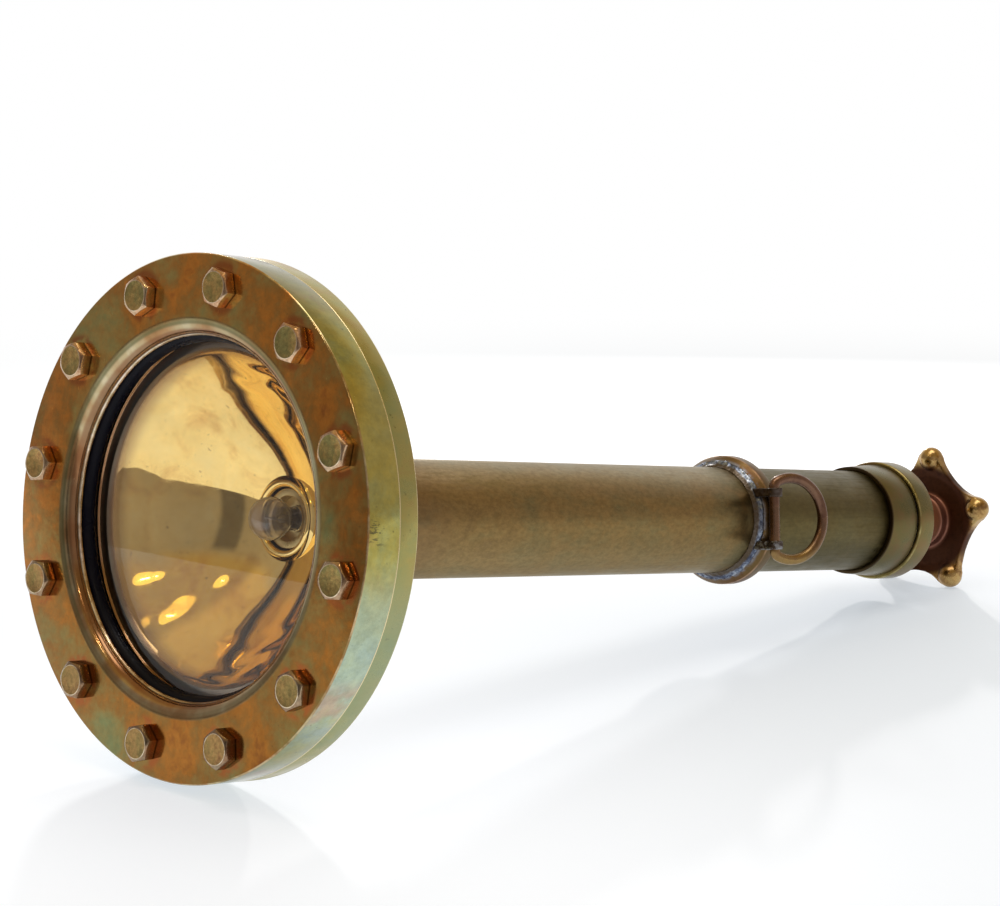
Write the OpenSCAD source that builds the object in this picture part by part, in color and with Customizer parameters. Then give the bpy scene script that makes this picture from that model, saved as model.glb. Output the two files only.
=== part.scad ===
// Diving torch: a bolted brass head with a flat window, a long battery tube for round cells,
// a soldered band with a swinging D-ring, and a screw switch worked by a star knob at the tail.
// Pieces are drawn on the torch's own axis, Z from the window to the knob and X towards the top
// of the torch as it lies, and are then laid down on the rim of the head and two knob lobes.

/* [Head] */
// Diameter of the front ring and the rear flange
head_d = 180; // [178:1:196]
// Thickness of the front ring, from its face to the joint
ring_t = 14; // [12:0.5:18]
// Thickness of the rear flange
flange_t = 8.4; // [7:0.1:12]
// Depth of the window's seat in the rear flange
seat_depth = 3.6; // [2.5:0.1:5]
// Width of the front ring's lip over the gasket
lip_in = 5.6; // [5:0.1:7]
// Thickness of that lip at its edge
lip_t = 2.3; // [1:0.1:3]
// Width of the rounded entry from the face in to the lip's edge
entry_w = 6; // [4:0.1:6.5]
// Distance from the edge of the glass in to the outside of the lamp housing
cone_in = 4.5; // [1:0.1:5]
// Depth of the housing's seat in the back of the rear flange
cone_seat = 1.6; // [1:0.1:1.9]
// Wall of the lamp housing
cone_wall = 3; // [2:0.1:4]
// Length of the housing's cone
cone_len = 49.6; // [47:0.1:60]
// Wall of the neck that holds the tube
neck_wall = 2.8; // [2:0.1:4]
// Length of the neck
neck_len = 14; // [10:1:20]

/* [Bolts] */
// Number of bolts round the head
bolt_count = 12; // [8:1:14]
// Distance of the bolt circle outside the middle of the rim
bolt_shift = 0.25; // [-0.5:0.05:0.6]
// Diameter of the bolt shanks
bolt_d = 6; // [5:0.5:6.5]
// Width of the bolt heads across flats
bolt_af = 12; // [10:0.5:13]
// Height of the bolt heads
bolt_head_h = 4.3; // [3:0.1:6]
// Height of the chamfer round the top of the bolt heads
bolt_chamfer = 0.9; // [0.5:0.1:1.2]
// Turn of the bolt circle from the top of the head
bolt_phase = 6.9; // [0:0.1:29]

/* [Window] */
// Diameter of the glass
glass_d = 136; // [133:0.5:140]
// Thickness of the glass
glass_t = 6; // [4:0.5:8]
// Thickness of the squeezed front gasket
gasket_t = 3.5; // [2:0.1:4]
// Width of the front gasket
gasket_w = 7.6; // [7:0.1:8.5]
// Thickness of the back gasket
back_gasket_t = 0.8; // [0.5:0.1:1.5]
// Width of the back gasket
back_gasket_w = 4; // [4:0.5:8]

/* [Reflector] */
// Width of the reflector's flat flange
reflector_in = 10.4; // [9:0.1:13]
// Thickness of the reflector's sheet
reflector_t = 1; // [0.6:0.1:1.5]
// Depth of the reflector from its rim to the collar
reflector_depth = 33.4; // [28:0.1:38]
// Diameter of the hole for the lamp
collar_hole_d = 22.5; // [22.1:0.1:25]
// Width of the rolled collar round that hole
collar_w = 2.8; // [2:0.1:4]

/* [Lamp] */
// Diameter of the glass globe
globe_d = 15.4; // [12:0.1:15.8]
// Distance from the front of the holder to the middle of the globe
globe_out = 8.1; // [5:0.1:12]
// Wall of the lamp's glass
lamp_wall = 0.5; // [0.4:0.1:0.8]
// Diameter of the lamp's neck
lamp_neck_d = 8.4; // [7:0.1:8.6]
// Diameter of the screwed cap
lamp_cap_d = 9.5; // [9.4:0.1:12]
// Length of the screwed cap
lamp_cap_len = 9; // [7:0.1:10]
// Height of the black glass under the cap
lamp_seat_h = 1.2; // [0.8:0.1:2]
// Height of the soldered tip
lamp_tip_h = 0.8; // [0.5:0.1:1.2]

/* [Lamp holder] */
// Outer diameter of the holder's sleeve
sleeve_d = 21.5; // [20.5:0.1:22]
// Bore of the holder's sleeve
sleeve_bore_d = 16; // [16:0.1:18]
// Gap from the reflector's collar to the front of the sleeve
sleeve_back = 0.5; // [0:0.1:3]
// Depth of the screwed socket below the front of the sleeve
socket_in = 4.5; // [3.5:0.1:6]
// Length of the screwed socket
socket_len = 11; // [10:0.1:12]
// Thickness of the plate that carries the holder
plate_t = 1.5; // [1:0.1:3]
// Thickness of the contact block's flange
block_t = 2.5; // [2:0.1:4]
// Diameter of the contact pin
pin_d = 4; // [3:0.1:5]
// Diameter of the pin's head
pin_head_d = 12; // [10:0.5:16]
// Thickness of the pin's head
pin_head_t = 2; // [1:0.1:3]
// Length of the contact spring as fitted
contact_spring_len = 6; // [5:0.1:10]

/* [Tube and cells] */
// Outer diameter of the battery tube
tube_d = 44.4; // [44:0.1:46]
// Wall of the battery tube
tube_wall = 3; // [2.2:0.1:3.2]
// Wall of the insulating liner
liner_wall = 2; // [1:0.1:2.2]
// Number of cells
cell_count = 5; // [3:1:5]
// Diameter of a cell over its jacket
cell_d = 33.2; // [30:0.1:33.8]
// Length of a cell with its cap
cell_len = 61.5; // [58:0.1:62]
// Diameter of a cell's cap
cell_cap_d = 9.5; // [8:0.1:12]
// Thickness of a cell's jacket
jacket_t = 0.7; // [0.4:0.1:1]
// Length of tube past the last cell
tube_past = 6; // [4:0.1:10]

/* [Band and D-ring] */
// Distance from the front of the band to the front of the tail sleeve
band_ahead = 96.2; // [60:0.2:120]
// Width of the band
band_w = 10.2; // [9:0.1:16]
// Thickness of the band
band_t = 5; // [3:0.1:6]
// Length of the solder fillet in front of the band
solder_len = 3.2; // [2:0.1:5]
// Diameter of the D-ring's wire
wire_d = 4.4; // [3:0.1:5]
// Radius of the D-ring's round side, at the middle of the wire
ring_r = 17; // [15:0.1:20]
// Distance from the straight bar to the middle of the round side
ring_set = 8.5; // [6:0.1:10]
// Radius of the two corners, at the middle of the wire
corner_r = 2.7; // [2.6:0.1:3.2]
// Distance from the front of the band to the bar
bar_back = 1.2; // [1:0.1:4]
// Thickness of an eye along the bar
eye_w = 3.6; // [3:0.1:5]
// Wall of an eye round the bar
eye_wall = 1.1; // [1:0.1:2]
// Place of the D-ring round the tube, from the top towards the side
ring_angle = 81.7; // [60:0.1:90]
// How far the D-ring leans away from the tube
ring_lean = 15; // [0:1:60]

/* [Tail] */
// Diameter of the tail sleeve at its front
tail_front_d = 48.1; // [47.4:0.1:50]
// Diameter of the tail sleeve at its back
tail_back_d = 50.4; // [49:0.1:53]
// Length of the tail sleeve
tail_len = 17.5; // [15:0.1:24]
// Length of tube inside the tail sleeve
tail_lap = 9.5; // [6:0.1:10]
// Diameter of the screw thread between sleeve and cap
thread_d = 43.4; // [42.4:0.1:44]
// Thickness of the tail seal
seal_t = 0.8; // [0.5:0.1:2]
// Diameter of the cap's rim
rim_d = 53.2; // [52:0.1:58]
// Width of the cap's rim
rim_w = 11.2; // [8:0.1:16]
// Thickness of the cap's end wall
end_wall = 7.5; // [5:0.1:9]
// Bore of the cap
cap_bore_d = 37; // [30:0.5:38]
// Diameter of the gland boss
boss_d = 26; // [24:0.5:30]
// Length of the gland boss
boss_len = 7.5; // [7:0.1:12]
// Diameter of the packing chamber
chamber_d = 17; // [15:0.1:19]
// Depth of the packing chamber
chamber_depth = 7; // [5:0.1:8]
// Thickness of the packing
packing_t = 3; // [2:0.1:4]
// Width of the gland nut across flats
gland_af = 20; // [18:0.5:22]
// Height of the gland nut's hexagon
gland_h = 6; // [4:0.1:8]

/* [Screw switch] */
// Diameter of the spindle
spindle_d = 10; // [8:0.1:11]
// Gap between the spring and the last cell when the switch is off
switch_gap = 3.3; // [3.3:0.1:4.5]
// Length of the tail spring
tail_spring_len = 6.5; // [6:0.1:9]
// Diameter of the contact disc
disc_d = 20; // [18:0.5:28]
// Thickness of the contact disc
disc_t = 2; // [1:0.1:3]
// Gap between the gland nut and the knob when the switch is off
knob_gap = 13.8; // [5:0.1:20]

/* [Star knob] */
// Number of lobes
lobe_count = 5; // [5:1:6]
// Distance from the axis to the middle of a lobe
lobe_out = 29; // [27:0.1:34]
// Radius of the ball on a lobe
lobe_r = 5.5; // [4.5:0.1:6.5]
// Radius of the hollows between the lobes
hollow_r = 24; // [16:0.5:30]
// Thickness of the knob's web
web_t = 5; // [4:0.1:8]
// Diameter of the knob's collar
collar_d = 24.4; // [18:0.1:30]
// Length of the knob's collar
collar_len = 5.2; // [2:0.1:10]
// Diameter of the spindle inside the knob
hub_bore_d = 8; // [6:0.1:9]
// Thickness of the washer under the knob nut
washer_t = 0.8; // [0.6:0.1:2]
// Width of the knob nut across flats
nut_af = 13; // [11:0.5:16]
// Height of the knob nut
nut_h = 4.2; // [3:0.1:8]

/* [Clearances] */
// Radial room round the glass and the reflector in their pocket
pocket_play = 0.3; // [0.2:0.1:1]
// Radial room of a shaft that turns in its hole
turn_play = 0.06; // [0.02:0.01:0.09]
// Radial room round the bolts in the front ring
bolt_play = 0.25; // [0.1:0.05:0.5]
// Room beside a part that moves past another
side_play = 0.3; // [0.25:0.05:0.6]
// Radial room in the screwed joints of the lamp and the gland
thread_play = 0.1; // [0.05:0.05:0.2]

/* [Hidden] */

// Facets of the head, of tube-sized pieces and of small round shapes
head_fn = 72;
tube_fn = 48;
small_fn = 24;

// Head, counted along the axis from the front face
head_r = head_d / 2;
pack_t = gasket_t + glass_t + back_gasket_t + reflector_t;
joint_z = ring_t;
seat_z = joint_z + seat_depth;
lip_z = seat_z - pack_t;
glass_z = lip_z + gasket_t;
back_gasket_z = glass_z + glass_t;
reflector_z = back_gasket_z + back_gasket_t;
flange_back_z = joint_z + flange_t;
glass_r = glass_d / 2;
pocket_r = glass_r + pocket_play;
lip_r = glass_r - lip_in;
entry_h = lip_z - lip_t;
reflector_r = glass_r - reflector_in;
seat_over = 2.9;
seat_r = reflector_r + seat_over;
bolt_ring_r = (pocket_r + head_r) / 2 + bolt_shift;
bolt_r = bolt_d / 2;
bolt_end_z = flange_back_z - 1.4;
edge_break = 0.4;

// Turn of each bolt head where it came tight, from the top of the head
bolt_turns = [-17, -22, 7, 23, 3, -9, 13, -28, 29, 21, 9, 0];

// Housing, neck and lamp holder
tube_r = tube_d / 2;
tube_bore_r = tube_r - tube_wall;
cone_r = glass_r - cone_in;
cone_z = flange_back_z - cone_seat;
plate_z = flange_back_z + cone_len;
neck_r = tube_r + neck_wall;
tube_z = plate_z + plate_t;
sleeve_r = sleeve_d / 2;
sleeve_bore_r = sleeve_bore_d / 2;
collar_z = reflector_z + reflector_depth;
sleeve_z = collar_z + sleeve_back;
socket_z = sleeve_z + socket_in;
block_z = socket_z + socket_len;
block_r = tube_bore_r - 1.5;

// Lamp and centre contact
globe_r = globe_d / 2;
globe_z = sleeve_z - globe_out;
lamp_neck_r = lamp_neck_d / 2;
lamp_cap_r = lamp_cap_d / 2;
lamp_cap_wall = 0.4;
lamp_cap_z = socket_z - 1.5;
lamp_neck_end_z = lamp_cap_z + 4.5;
lamp_seat_z = lamp_cap_z + lamp_cap_len;
lamp_tip_z = lamp_seat_z + lamp_seat_h;
lamp_tip_r = 1.9;
stem_r = 1.5;
stem_z = globe_z + globe_r / 2;
post_out = 2.1;
post_r = 0.25;
filament_z = globe_z - 0.5;
pin_r = pin_d / 2;
pin_z = lamp_tip_z + lamp_tip_h;
contact_spring_z = tube_z + block_t;
contact_spring_wire = 0.9;
pin_head_z = contact_spring_z + contact_spring_len;

// Cells and liner
cells_z = pin_head_z + pin_head_t;
cells_end_z = cells_z + cell_count * cell_len;
can_r = cell_d / 2 - jacket_t;
nub_h = 2;
can_in = 3.5;
liner_r = tube_bore_r - 0.2;
tube_end_z = cells_end_z + tube_past;

// Tail
tail_z = tube_end_z - tail_lap;
tail_back_z = tail_z + tail_len;
thread_r = thread_d / 2;
seal_r = tail_back_d / 2 - 0.2;
rim_z = tail_back_z + seal_t;
rim_r = rim_d / 2;
rim_edge = 1;
spigot_z = tube_end_z + seal_t;
spigot_r = thread_r - turn_play;
end_wall_z = rim_z + rim_w - end_wall;
boss_z = rim_z + rim_w;
boss_end_z = boss_z + boss_len;
chamber_r = chamber_d / 2;
chamber_z = boss_end_z - chamber_depth;
packing_end_z = chamber_z + packing_t;
gland_end_z = boss_end_z + gland_h;

// Band and D-ring
band_z = tail_z - band_ahead;
band_end_z = band_z + band_w;
band_r = tube_r + band_t;
band_step = 2.6;
wire_r = wire_d / 2;
bar_z = band_z + bar_back;
bar_out = band_r + wire_r + side_play;
bar_half = sqrt(pow(ring_r - corner_r, 2) - pow(ring_set - corner_r, 2));
corner_turn = asin((ring_set - corner_r) / (ring_r - corner_r));
eye_bore_r = wire_r + turn_play;
eye_r = eye_bore_r + eye_wall;
eye_mid = bar_half - side_play - eye_w / 2;
foot_h = 13;

// Screw switch
spring_z = cells_end_z + switch_gap;
disc_z = spring_z + tail_spring_len;
tail_spring_wire = 1.2;
spindle_r = spindle_d / 2;
spindle_bore_r = spindle_r + turn_play;
swivel_r = spindle_r / 2;
swivel_play = 0.2;
swivel_head_r = swivel_r + 1.2;
swivel_head_t = 1.2;
shoulder_z = disc_z + disc_t + swivel_play;

// Star knob
knob_z = gland_end_z + knob_gap;
web_z = knob_z + collar_len;
web_end_z = web_z + web_t;
lobe_z = web_end_z - lobe_r;
hub_r = hub_bore_d / 2;
stud_r = 3;
washer_r = 7;
nut_z = web_end_z + washer_t;
stud_end_z = nut_z + nut_h + 0.8;
half_lobe = 180 / lobe_count;
hollow_out = lobe_out * cos(half_lobe)
    + sqrt(pow(lobe_r + hollow_r, 2) - pow(lobe_out * sin(half_lobe), 2));

// How the torch lies: its rim and two lobes touch the ground, so the axis falls towards the knob
rim_contact_z = flange_back_z - edge_break;
lobe_span = lobe_z - rim_contact_z;
rim_over = head_r - lobe_out * cos(half_lobe);
lie_tilt = atan2(rim_over, lobe_span) - asin(lobe_r / norm([rim_over, lobe_span]));
lie_height = rim_contact_z * sin(lie_tilt) + head_r * cos(lie_tilt);
low_bolt = min([for (i = [0 : bolt_count - 1]) bolt_ring_r * cos(bolt_angle(i))]) - bolt_af * 0.45;
front_x = low_bolt * sin(lie_tilt) - bolt_head_h * cos(lie_tilt);
back_x = stud_end_z * cos(lie_tilt) + stud_r * sin(lie_tilt);
lie_shift = -(front_x + back_x) / 2;

function bolt_angle(i) = bolt_phase + i * 360 / bolt_count;

// Lays a piece from the torch's own axis onto the ground
module lay() {
    translate([lie_shift, 0, lie_height])
        rotate([0, lie_tilt, 0])
            rotate([180, 0, 0])
                rotate([0, 90, 0])
                    children();
}

// A solid turned about the axis from an outline of [radius, z] points
module turned(outline, facets = tube_fn) {
    rotate_extrude($fn = facets) polygon(outline);
}

// A plain ring between two radii, from one height to another
module ring(outer_r, inner_r, from_z, to_z, facets = tube_fn) {
    translate([0, 0, from_z])
        rotate_extrude($fn = facets)
            translate([inner_r, 0])
                square([outer_r - inner_r, to_z - from_z]);
}

// A plain disc, from one height to another
module disc(r, from_z, to_z, facets = tube_fn) {
    translate([0, 0, from_z]) cylinder(r = r, h = to_z - from_z, $fn = facets);
}

// A hexagon of a width across flats, from one height to another
module hexagon(af, from_z, to_z) {
    translate([0, 0, from_z]) cylinder(r = af / 2 / cos(30), h = to_z - from_z, $fn = 6);
}

// Places something at one bolt
module at_bolt(i) {
    rotate([0, 0, bolt_angle(i)]) translate([bolt_ring_r, 0, 0]) children();
}

// Middle of the wire at one step of a coil spring that widens from r1 to r2
coil_steps = 8;
coil_sides = 6;
function coil_mid(r1, r2, turns, rise, i) =
    let (part = i / (turns * coil_steps), r = r1 + (r2 - r1) * part, a = 360 * turns * part)
    [r * cos(a), r * sin(a), rise * part];

// Least gap between two curls of the wire, measured from point to point
function coil_gap(r1, r2, turns, rise, wire) =
    min([
        for (i = [0 : (turns - 1) * coil_steps], j = [i + coil_steps / 2 : turns * coil_steps])
            norm(coil_mid(r1, r2, turns, rise, i) - coil_mid(r1, r2, turns, rise, j)) - wire
    ]);

// A coil spring as one unbroken tube of wire, standing on height zero
module coil(r1, r2, turns, length, wire) {
    rise = length - wire;
    count = turns * coil_steps;
    points = [
        for (i = [0 : count], j = [0 : coil_sides - 1])
            let (a = 360 * i / coil_steps, b = 360 * (j + 0.5) / coil_sides)
            coil_mid(r1, r2, turns, rise, i)
                + wire / 2 * [cos(b) * cos(a), cos(b) * sin(a), sin(b)]
    ];
    sides = [
        for (i = [0 : count - 1], j = [0 : coil_sides - 1])
            let (k = (j + 1) % coil_sides, m = i * coil_sides, n = m + coil_sides)
            [m + j, m + k, n + k, n + j]
    ];
    first_end = [for (j = [coil_sides - 1 : -1 : 0]) j];
    last_end = [for (j = [0 : coil_sides - 1]) count * coil_sides + j];
    echo(least_gap = coil_gap(r1, r2, turns, rise, wire));
    translate([0, 0, wire / 2]) polyhedron(points, concat(sides, [first_end], [last_end]));
}

// Clamp ring in front of the window, whose face rolls over into its bore
module front_ring() {
    steps = 8;
    entry = [
        for (i = [0 : steps])
            let (turn = 90 * i / steps)
            [lip_r + entry_w * (1 - cos(turn)), entry_h * (1 - sin(turn))]
    ];
    color("darkgoldenrod") difference() {
        turned(concat([
            [head_r - edge_break, 0], [head_r, edge_break], [head_r, joint_z],
            [pocket_r, joint_z], [pocket_r, lip_z], [lip_r, lip_z]
        ], entry), head_fn);
        for (i = [0 : bolt_count - 1])
            at_bolt(i) disc(bolt_r + bolt_play, -3, joint_z + 1, small_fn);
    }
}

// Hexagon-headed bolts with chamfered heads, screwed into the rear flange
module head_bolts() {
    corner_r = bolt_af / 2 / cos(30) + 0.1;
    color("olivedrab")
        for (i = [0 : bolt_count - 1])
            at_bolt(i) {
                rotate([0, 0, bolt_turns[i % len(bolt_turns)] - bolt_angle(i)])
                    intersection() {
                        hexagon(bolt_af, -bolt_head_h, 0);
                        turned([
                            [0, -bolt_head_h], [bolt_af * 0.44, -bolt_head_h],
                            [corner_r, bolt_chamfer - bolt_head_h], [corner_r, 0], [0, 0]
                        ], small_fn);
                    }
                disc(bolt_r, -0.5, bolt_end_z, small_fn);
            }
}

// Rubber ring squeezed between the front ring and the glass
module front_gasket() {
    color("black") ring(glass_r, glass_r - gasket_w, lip_z, glass_z, head_fn);
}

// Flat glass
module window() {
    color("lightcyan", 0.4) disc(glass_r, glass_z, back_gasket_z, head_fn);
}

// Thin ring between the glass and the reflector
module back_gasket() {
    color("dimgray")
        ring(glass_r, glass_r - back_gasket_w, back_gasket_z, reflector_z, head_fn);
}

// Polished dish of sheet metal: a flat flange, a parabola and a rolled collar round the lamp
module reflector() {
    steps = 8;
    end_r = collar_hole_d / 2 + collar_w;
    roll_r = collar_w / 2;
    roll_mid_r = collar_hole_d / 2 + roll_r;
    roll_mid_z = collar_z - 0.6;
    k = (pow(reflector_r, 2) - pow(end_r, 2)) / reflector_depth;
    inside = [
        for (i = [0 : steps])
            let (r = reflector_r + (end_r - reflector_r) * i / steps)
            [r, reflector_z + (pow(reflector_r, 2) - r * r) / k]
    ];
    outside = [
        for (i = [steps : -1 : 1])
            let (p = inside[i], s = 2 * p[0] / k, n = norm([s, 1]))
            [p[0] + reflector_t * s / n, p[1] + reflector_t / n]
    ];
    color("gold") union() {
        turned(concat(
            [[glass_r, reflector_z + reflector_t], [glass_r, reflector_z]],
            inside,
            [[roll_mid_r, roll_mid_z], [roll_mid_r, roll_mid_z + roll_r - 0.1]],
            outside,
            [[reflector_r + 1.2 * reflector_t, reflector_z + reflector_t]]
        ), 60);
        rotate_extrude($fn = 60)
            translate([roll_mid_r, roll_mid_z])
                circle(r = roll_r, $fn = 16);
    }
}

// Rear flange with the pocket for the window, tapped holes for the bolts and a seat for the cone
module rear_flange() {
    color("peru") difference() {
        turned([
            [head_r, joint_z], [head_r, flange_back_z - edge_break],
            [head_r - edge_break, flange_back_z], [cone_r, flange_back_z], [cone_r, cone_z],
            [seat_r, cone_z], [seat_r, seat_z], [pocket_r, seat_z], [pocket_r, joint_z]
        ], head_fn);
        for (i = [0 : bolt_count - 1])
            at_bolt(i) disc(bolt_r, joint_z - 1, bolt_end_z, small_fn);
    }
}

// Cone-shaped lamp housing and the neck the tube is soldered into
module head_cone() {
    skin = cone_wall * norm([cone_r - neck_r, cone_len]) / cone_len;
    color("peru") turned([
        [cone_r, cone_z], [cone_r, flange_back_z], [neck_r, plate_z],
        [neck_r, plate_z + neck_len], [tube_r, plate_z + neck_len], [tube_r, plate_z],
        [tube_bore_r, plate_z], [tube_bore_r, plate_z - 2], [cone_r - skin, flange_back_z],
        [cone_r - skin, cone_z]
    ], head_fn);
}

// Plate across the neck that carries the lamp holder
module holder_plate() {
    color("goldenrod") ring(tube_r, sleeve_r, plate_z, tube_z, tube_fn);
}

// Sleeve round the lamp
module holder_sleeve() {
    color("goldenrod") ring(sleeve_r, sleeve_bore_r, sleeve_z, tube_z, tube_fn);
}

// Screwed socket for the lamp's cap
module lamp_socket() {
    color("khaki") ring(sleeve_bore_r, lamp_cap_r + thread_play, socket_z, block_z, tube_fn);
}

// Insulating block that guides the contact pin
module contact_block() {
    color("saddlebrown") turned([
        [pin_r + thread_play, block_z], [sleeve_bore_r, block_z], [sleeve_bore_r, tube_z],
        [block_r, tube_z], [block_r, contact_spring_z], [pin_r + thread_play, contact_spring_z]
    ]);
}

// Headed pin from the first cell to the tip of the lamp
module contact_pin() {
    color("goldenrod") turned([
        [0, pin_z], [pin_r, pin_z], [pin_r, pin_head_z], [pin_head_d / 2, pin_head_z],
        [pin_head_d / 2, cells_z], [0, cells_z]
    ], small_fn);
}

// Spring that keeps the pin against the cell
module contact_spring() {
    mid_r = pin_r + 0.6 + contact_spring_wire / 2;
    color("silver")
        translate([0, 0, contact_spring_z])
            coil(mid_r, mid_r, 3, contact_spring_len, contact_spring_wire);
}

// Round glass of the lamp with its neck, open at the back for the stem
module bulb_glass() {
    steps = 9;
    inner_r = globe_r - lamp_wall;
    inner_neck_r = lamp_neck_r - lamp_wall;
    turn_out = 180 - asin(lamp_neck_r / globe_r);
    turn_in = 180 - asin(inner_neck_r / inner_r);
    outside = [
        for (i = [0 : steps])
            let (a = turn_out * i / steps)
            [globe_r * sin(a), globe_z - globe_r * cos(a)]
    ];
    inside = [
        for (i = [steps : -1 : 0])
            let (a = turn_in * i / steps)
            [inner_r * sin(a), globe_z - inner_r * cos(a)]
    ];
    color("lightcyan", 0.5) turned(concat(
        outside,
        [[lamp_neck_r, lamp_neck_end_z], [inner_neck_r, lamp_neck_end_z]],
        inside
    ), small_fn);
}

// Glass stem that closes the lamp's neck
module bulb_stem() {
    foot_r = lamp_neck_r - lamp_wall;
    color("azure", 0.6) turned([
        [0, stem_z], [stem_r, stem_z], [stem_r, lamp_neck_end_z - 3],
        [foot_r, lamp_neck_end_z - 1], [foot_r, lamp_neck_end_z], [0, lamp_neck_end_z]
    ], small_fn);
}

// Two posts with the filament across their ends
module bulb_filament() {
    color("silver") {
        for (side = [-1, 1])
            translate([0, side * post_out, 0]) {
                disc(post_r, filament_z, stem_z + 1, 16);
            }
        translate([0, -post_out, filament_z])
            rotate([-90, 0, 0])
                cylinder(r = post_r, h = 2 * post_out, $fn = 16);
        for (side = [-1, 1])
            translate([0, side * post_out, stem_z + 1])
                rotate([side * 90, 0, 0])
                    cylinder(r = post_r, h = post_out - stem_r, $fn = 16);
    }
}

// Screwed shell of the lamp's cap
module bulb_cap() {
    color("gold") ring(lamp_cap_r, lamp_cap_r - lamp_cap_wall, lamp_cap_z, lamp_seat_z, tube_fn);
}

// Black glass under the cap
module bulb_insulator() {
    color("black") turned([
        [0, lamp_seat_z], [lamp_cap_r, lamp_seat_z], [lamp_tip_r, lamp_tip_z], [0, lamp_tip_z]
    ], small_fn);
}

// Soldered tip of the lamp
module bulb_tip() {
    color("silver") disc(lamp_tip_r, lamp_tip_z, pin_z, small_fn);
}

// Long tube for the cells
module battery_tube() {
    color("darkkhaki") ring(tube_r, tube_bore_r, tube_z, tube_end_z, tube_fn);
}

// Insulating liner in the tube
module tube_liner() {
    color("wheat") ring(liner_r, liner_r - liner_wall, contact_spring_z + 1, cells_end_z - 0.5, tube_fn);
}

// Places something at every cell
module at_cells() {
    for (i = [0 : cell_count - 1])
        translate([0, 0, cells_z + i * cell_len])
            children();
}

// Zinc cans of the cells
module cell_cans() {
    color("lightgray") at_cells() disc(can_r, can_in, cell_len, 36);
}

// Paper jackets round the cells
module cell_jackets() {
    color("firebrick") at_cells() ring(cell_d / 2, can_r, can_in, cell_len, 36);
}

// Sealing discs on top of the cells
module cell_seals() {
    color("black") at_cells() ring(can_r, cell_cap_d / 2, nub_h, can_in, 36);
}

// Brass caps of the cells
module cell_caps() {
    color("gold") at_cells() disc(cell_cap_d / 2, 0, can_in, small_fn);
}

// Outline of the solder fillet and of the band, from front to back
solder_outline = [
    [tube_r, band_z - solder_len], [tube_r + 0.3, band_z - solder_len],
    [tube_r + band_step, band_z]
];
band_outline = [
    [tube_r + band_step, band_z], [band_r, band_z + 2.9], [band_r, band_end_z - 2],
    [band_r - 1.7, band_end_z - 0.5], [band_r - 3, band_end_z], [tube_r, band_end_z]
];

// Band soldered round the tube
module band() {
    color("darkgoldenrod") turned(concat(band_outline, [[tube_r, band_z]]));
}

// Solder fillet in front of the band
module band_solder() {
    color("lightsteelblue") turned(concat(solder_outline, [[tube_r, band_z]]));
}

// Turns something to the place of the D-ring and sets it on the bar's axis
module at_bar() {
    rotate([0, 0, ring_angle]) translate([bar_out, 0, bar_z]) children();
}

// Two eyes on the band for the bar of the D-ring
module ring_eyes() {
    color("slategray") difference() {
        at_bar()
            for (side = [-1, 1])
                translate([0, side * eye_mid, 0]) {
                    rotate([90, 0, 0])
                        cylinder(r = eye_r, h = eye_w, center = true, $fn = small_fn);
                    translate([-foot_h, -eye_w / 2, -0.8 * eye_r])
                        cube([foot_h, eye_w, 1.6 * eye_r]);
                }
        turned(concat(
            [[0, band_end_z], [0, band_z - 9], [tube_r, band_z - 9]],
            solder_outline, band_outline
        ));
        at_bar()
            rotate([90, 0, 0])
                cylinder(r = eye_bore_r, h = 2 * bar_half, center = true, $fn = small_fn);
    }
}

// A bent length of the D-ring's wire, centred on the origin
module bent_wire(bend_r, r, from_turn, turn) {
    rotate([0, 0, from_turn])
        rotate_extrude(angle = turn, $fn = tube_fn)
            translate([bend_r, 0])
                circle(r = r, $fn = small_fn);
}

// D-ring: a straight bar through the eyes, two tight corners and one round side.
// The corners are drawn a hair thinner, and the bar and the round side lap over their ends.
module d_ring() {
    lap = 0.2;
    corner_wire_r = wire_r - 0.05;
    lap_turn = lap / ring_r * 180 / PI;
    color("sienna")
        at_bar()
            rotate([0, ring_lean, 0])
                rotate([90, 0, 90]) {
                    translate([-bar_half - lap, 0, 0])
                        rotate([0, 90, 0])
                            cylinder(r = wire_r, h = 2 * (bar_half + lap), $fn = small_fn);
                    translate([bar_half, corner_r, 0])
                        bent_wire(corner_r, corner_wire_r, -90, 90 - corner_turn);
                    translate([-bar_half, corner_r, 0])
                        bent_wire(corner_r, corner_wire_r, 180 + corner_turn, 90 - corner_turn);
                    translate([0, ring_set, 0])
                        bent_wire(ring_r, wire_r, -corner_turn - lap_turn,
                            180 + 2 * (corner_turn + lap_turn));
                }
}

// Sleeve soldered over the end of the tube and screwed inside for the cap
module tail_sleeve() {
    color("tan") turned([
        [tail_front_d / 2, tail_z], [tail_back_d / 2, tail_back_z], [thread_r, tail_back_z],
        [thread_r, tube_end_z], [tube_r, tube_end_z], [tube_r, tail_z]
    ], head_fn);
}

// Thin seal between the sleeve and the cap
module tail_seal() {
    color("black") ring(seal_r, spigot_r + side_play, tail_back_z, rim_z, head_fn);
}

// Screwed cap with the gland for the spindle
module tail_cap() {
    cavity_r = cap_bore_d / 2;
    edge = rim_edge * (1 - sqrt(0.5));
    color("olive") turned([
        [spigot_r, spigot_z], [spigot_r, rim_z], [rim_r - rim_edge, rim_z],
        [rim_r - edge, rim_z + edge], [rim_r, rim_z + rim_edge], [rim_r, boss_z - rim_edge],
        [rim_r - edge, boss_z - edge], [rim_r - rim_edge, boss_z], [boss_d / 2, boss_z],
        [boss_d / 2, boss_end_z], [chamber_r, boss_end_z], [chamber_r, chamber_z],
        [spindle_bore_r, chamber_z], [spindle_bore_r, end_wall_z], [cavity_r, end_wall_z],
        [cavity_r, spigot_z]
    ], head_fn);
}

// Packing round the spindle
module gland_packing() {
    color("ivory") ring(chamber_r, spindle_bore_r, chamber_z, packing_end_z, tube_fn);
}

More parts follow.
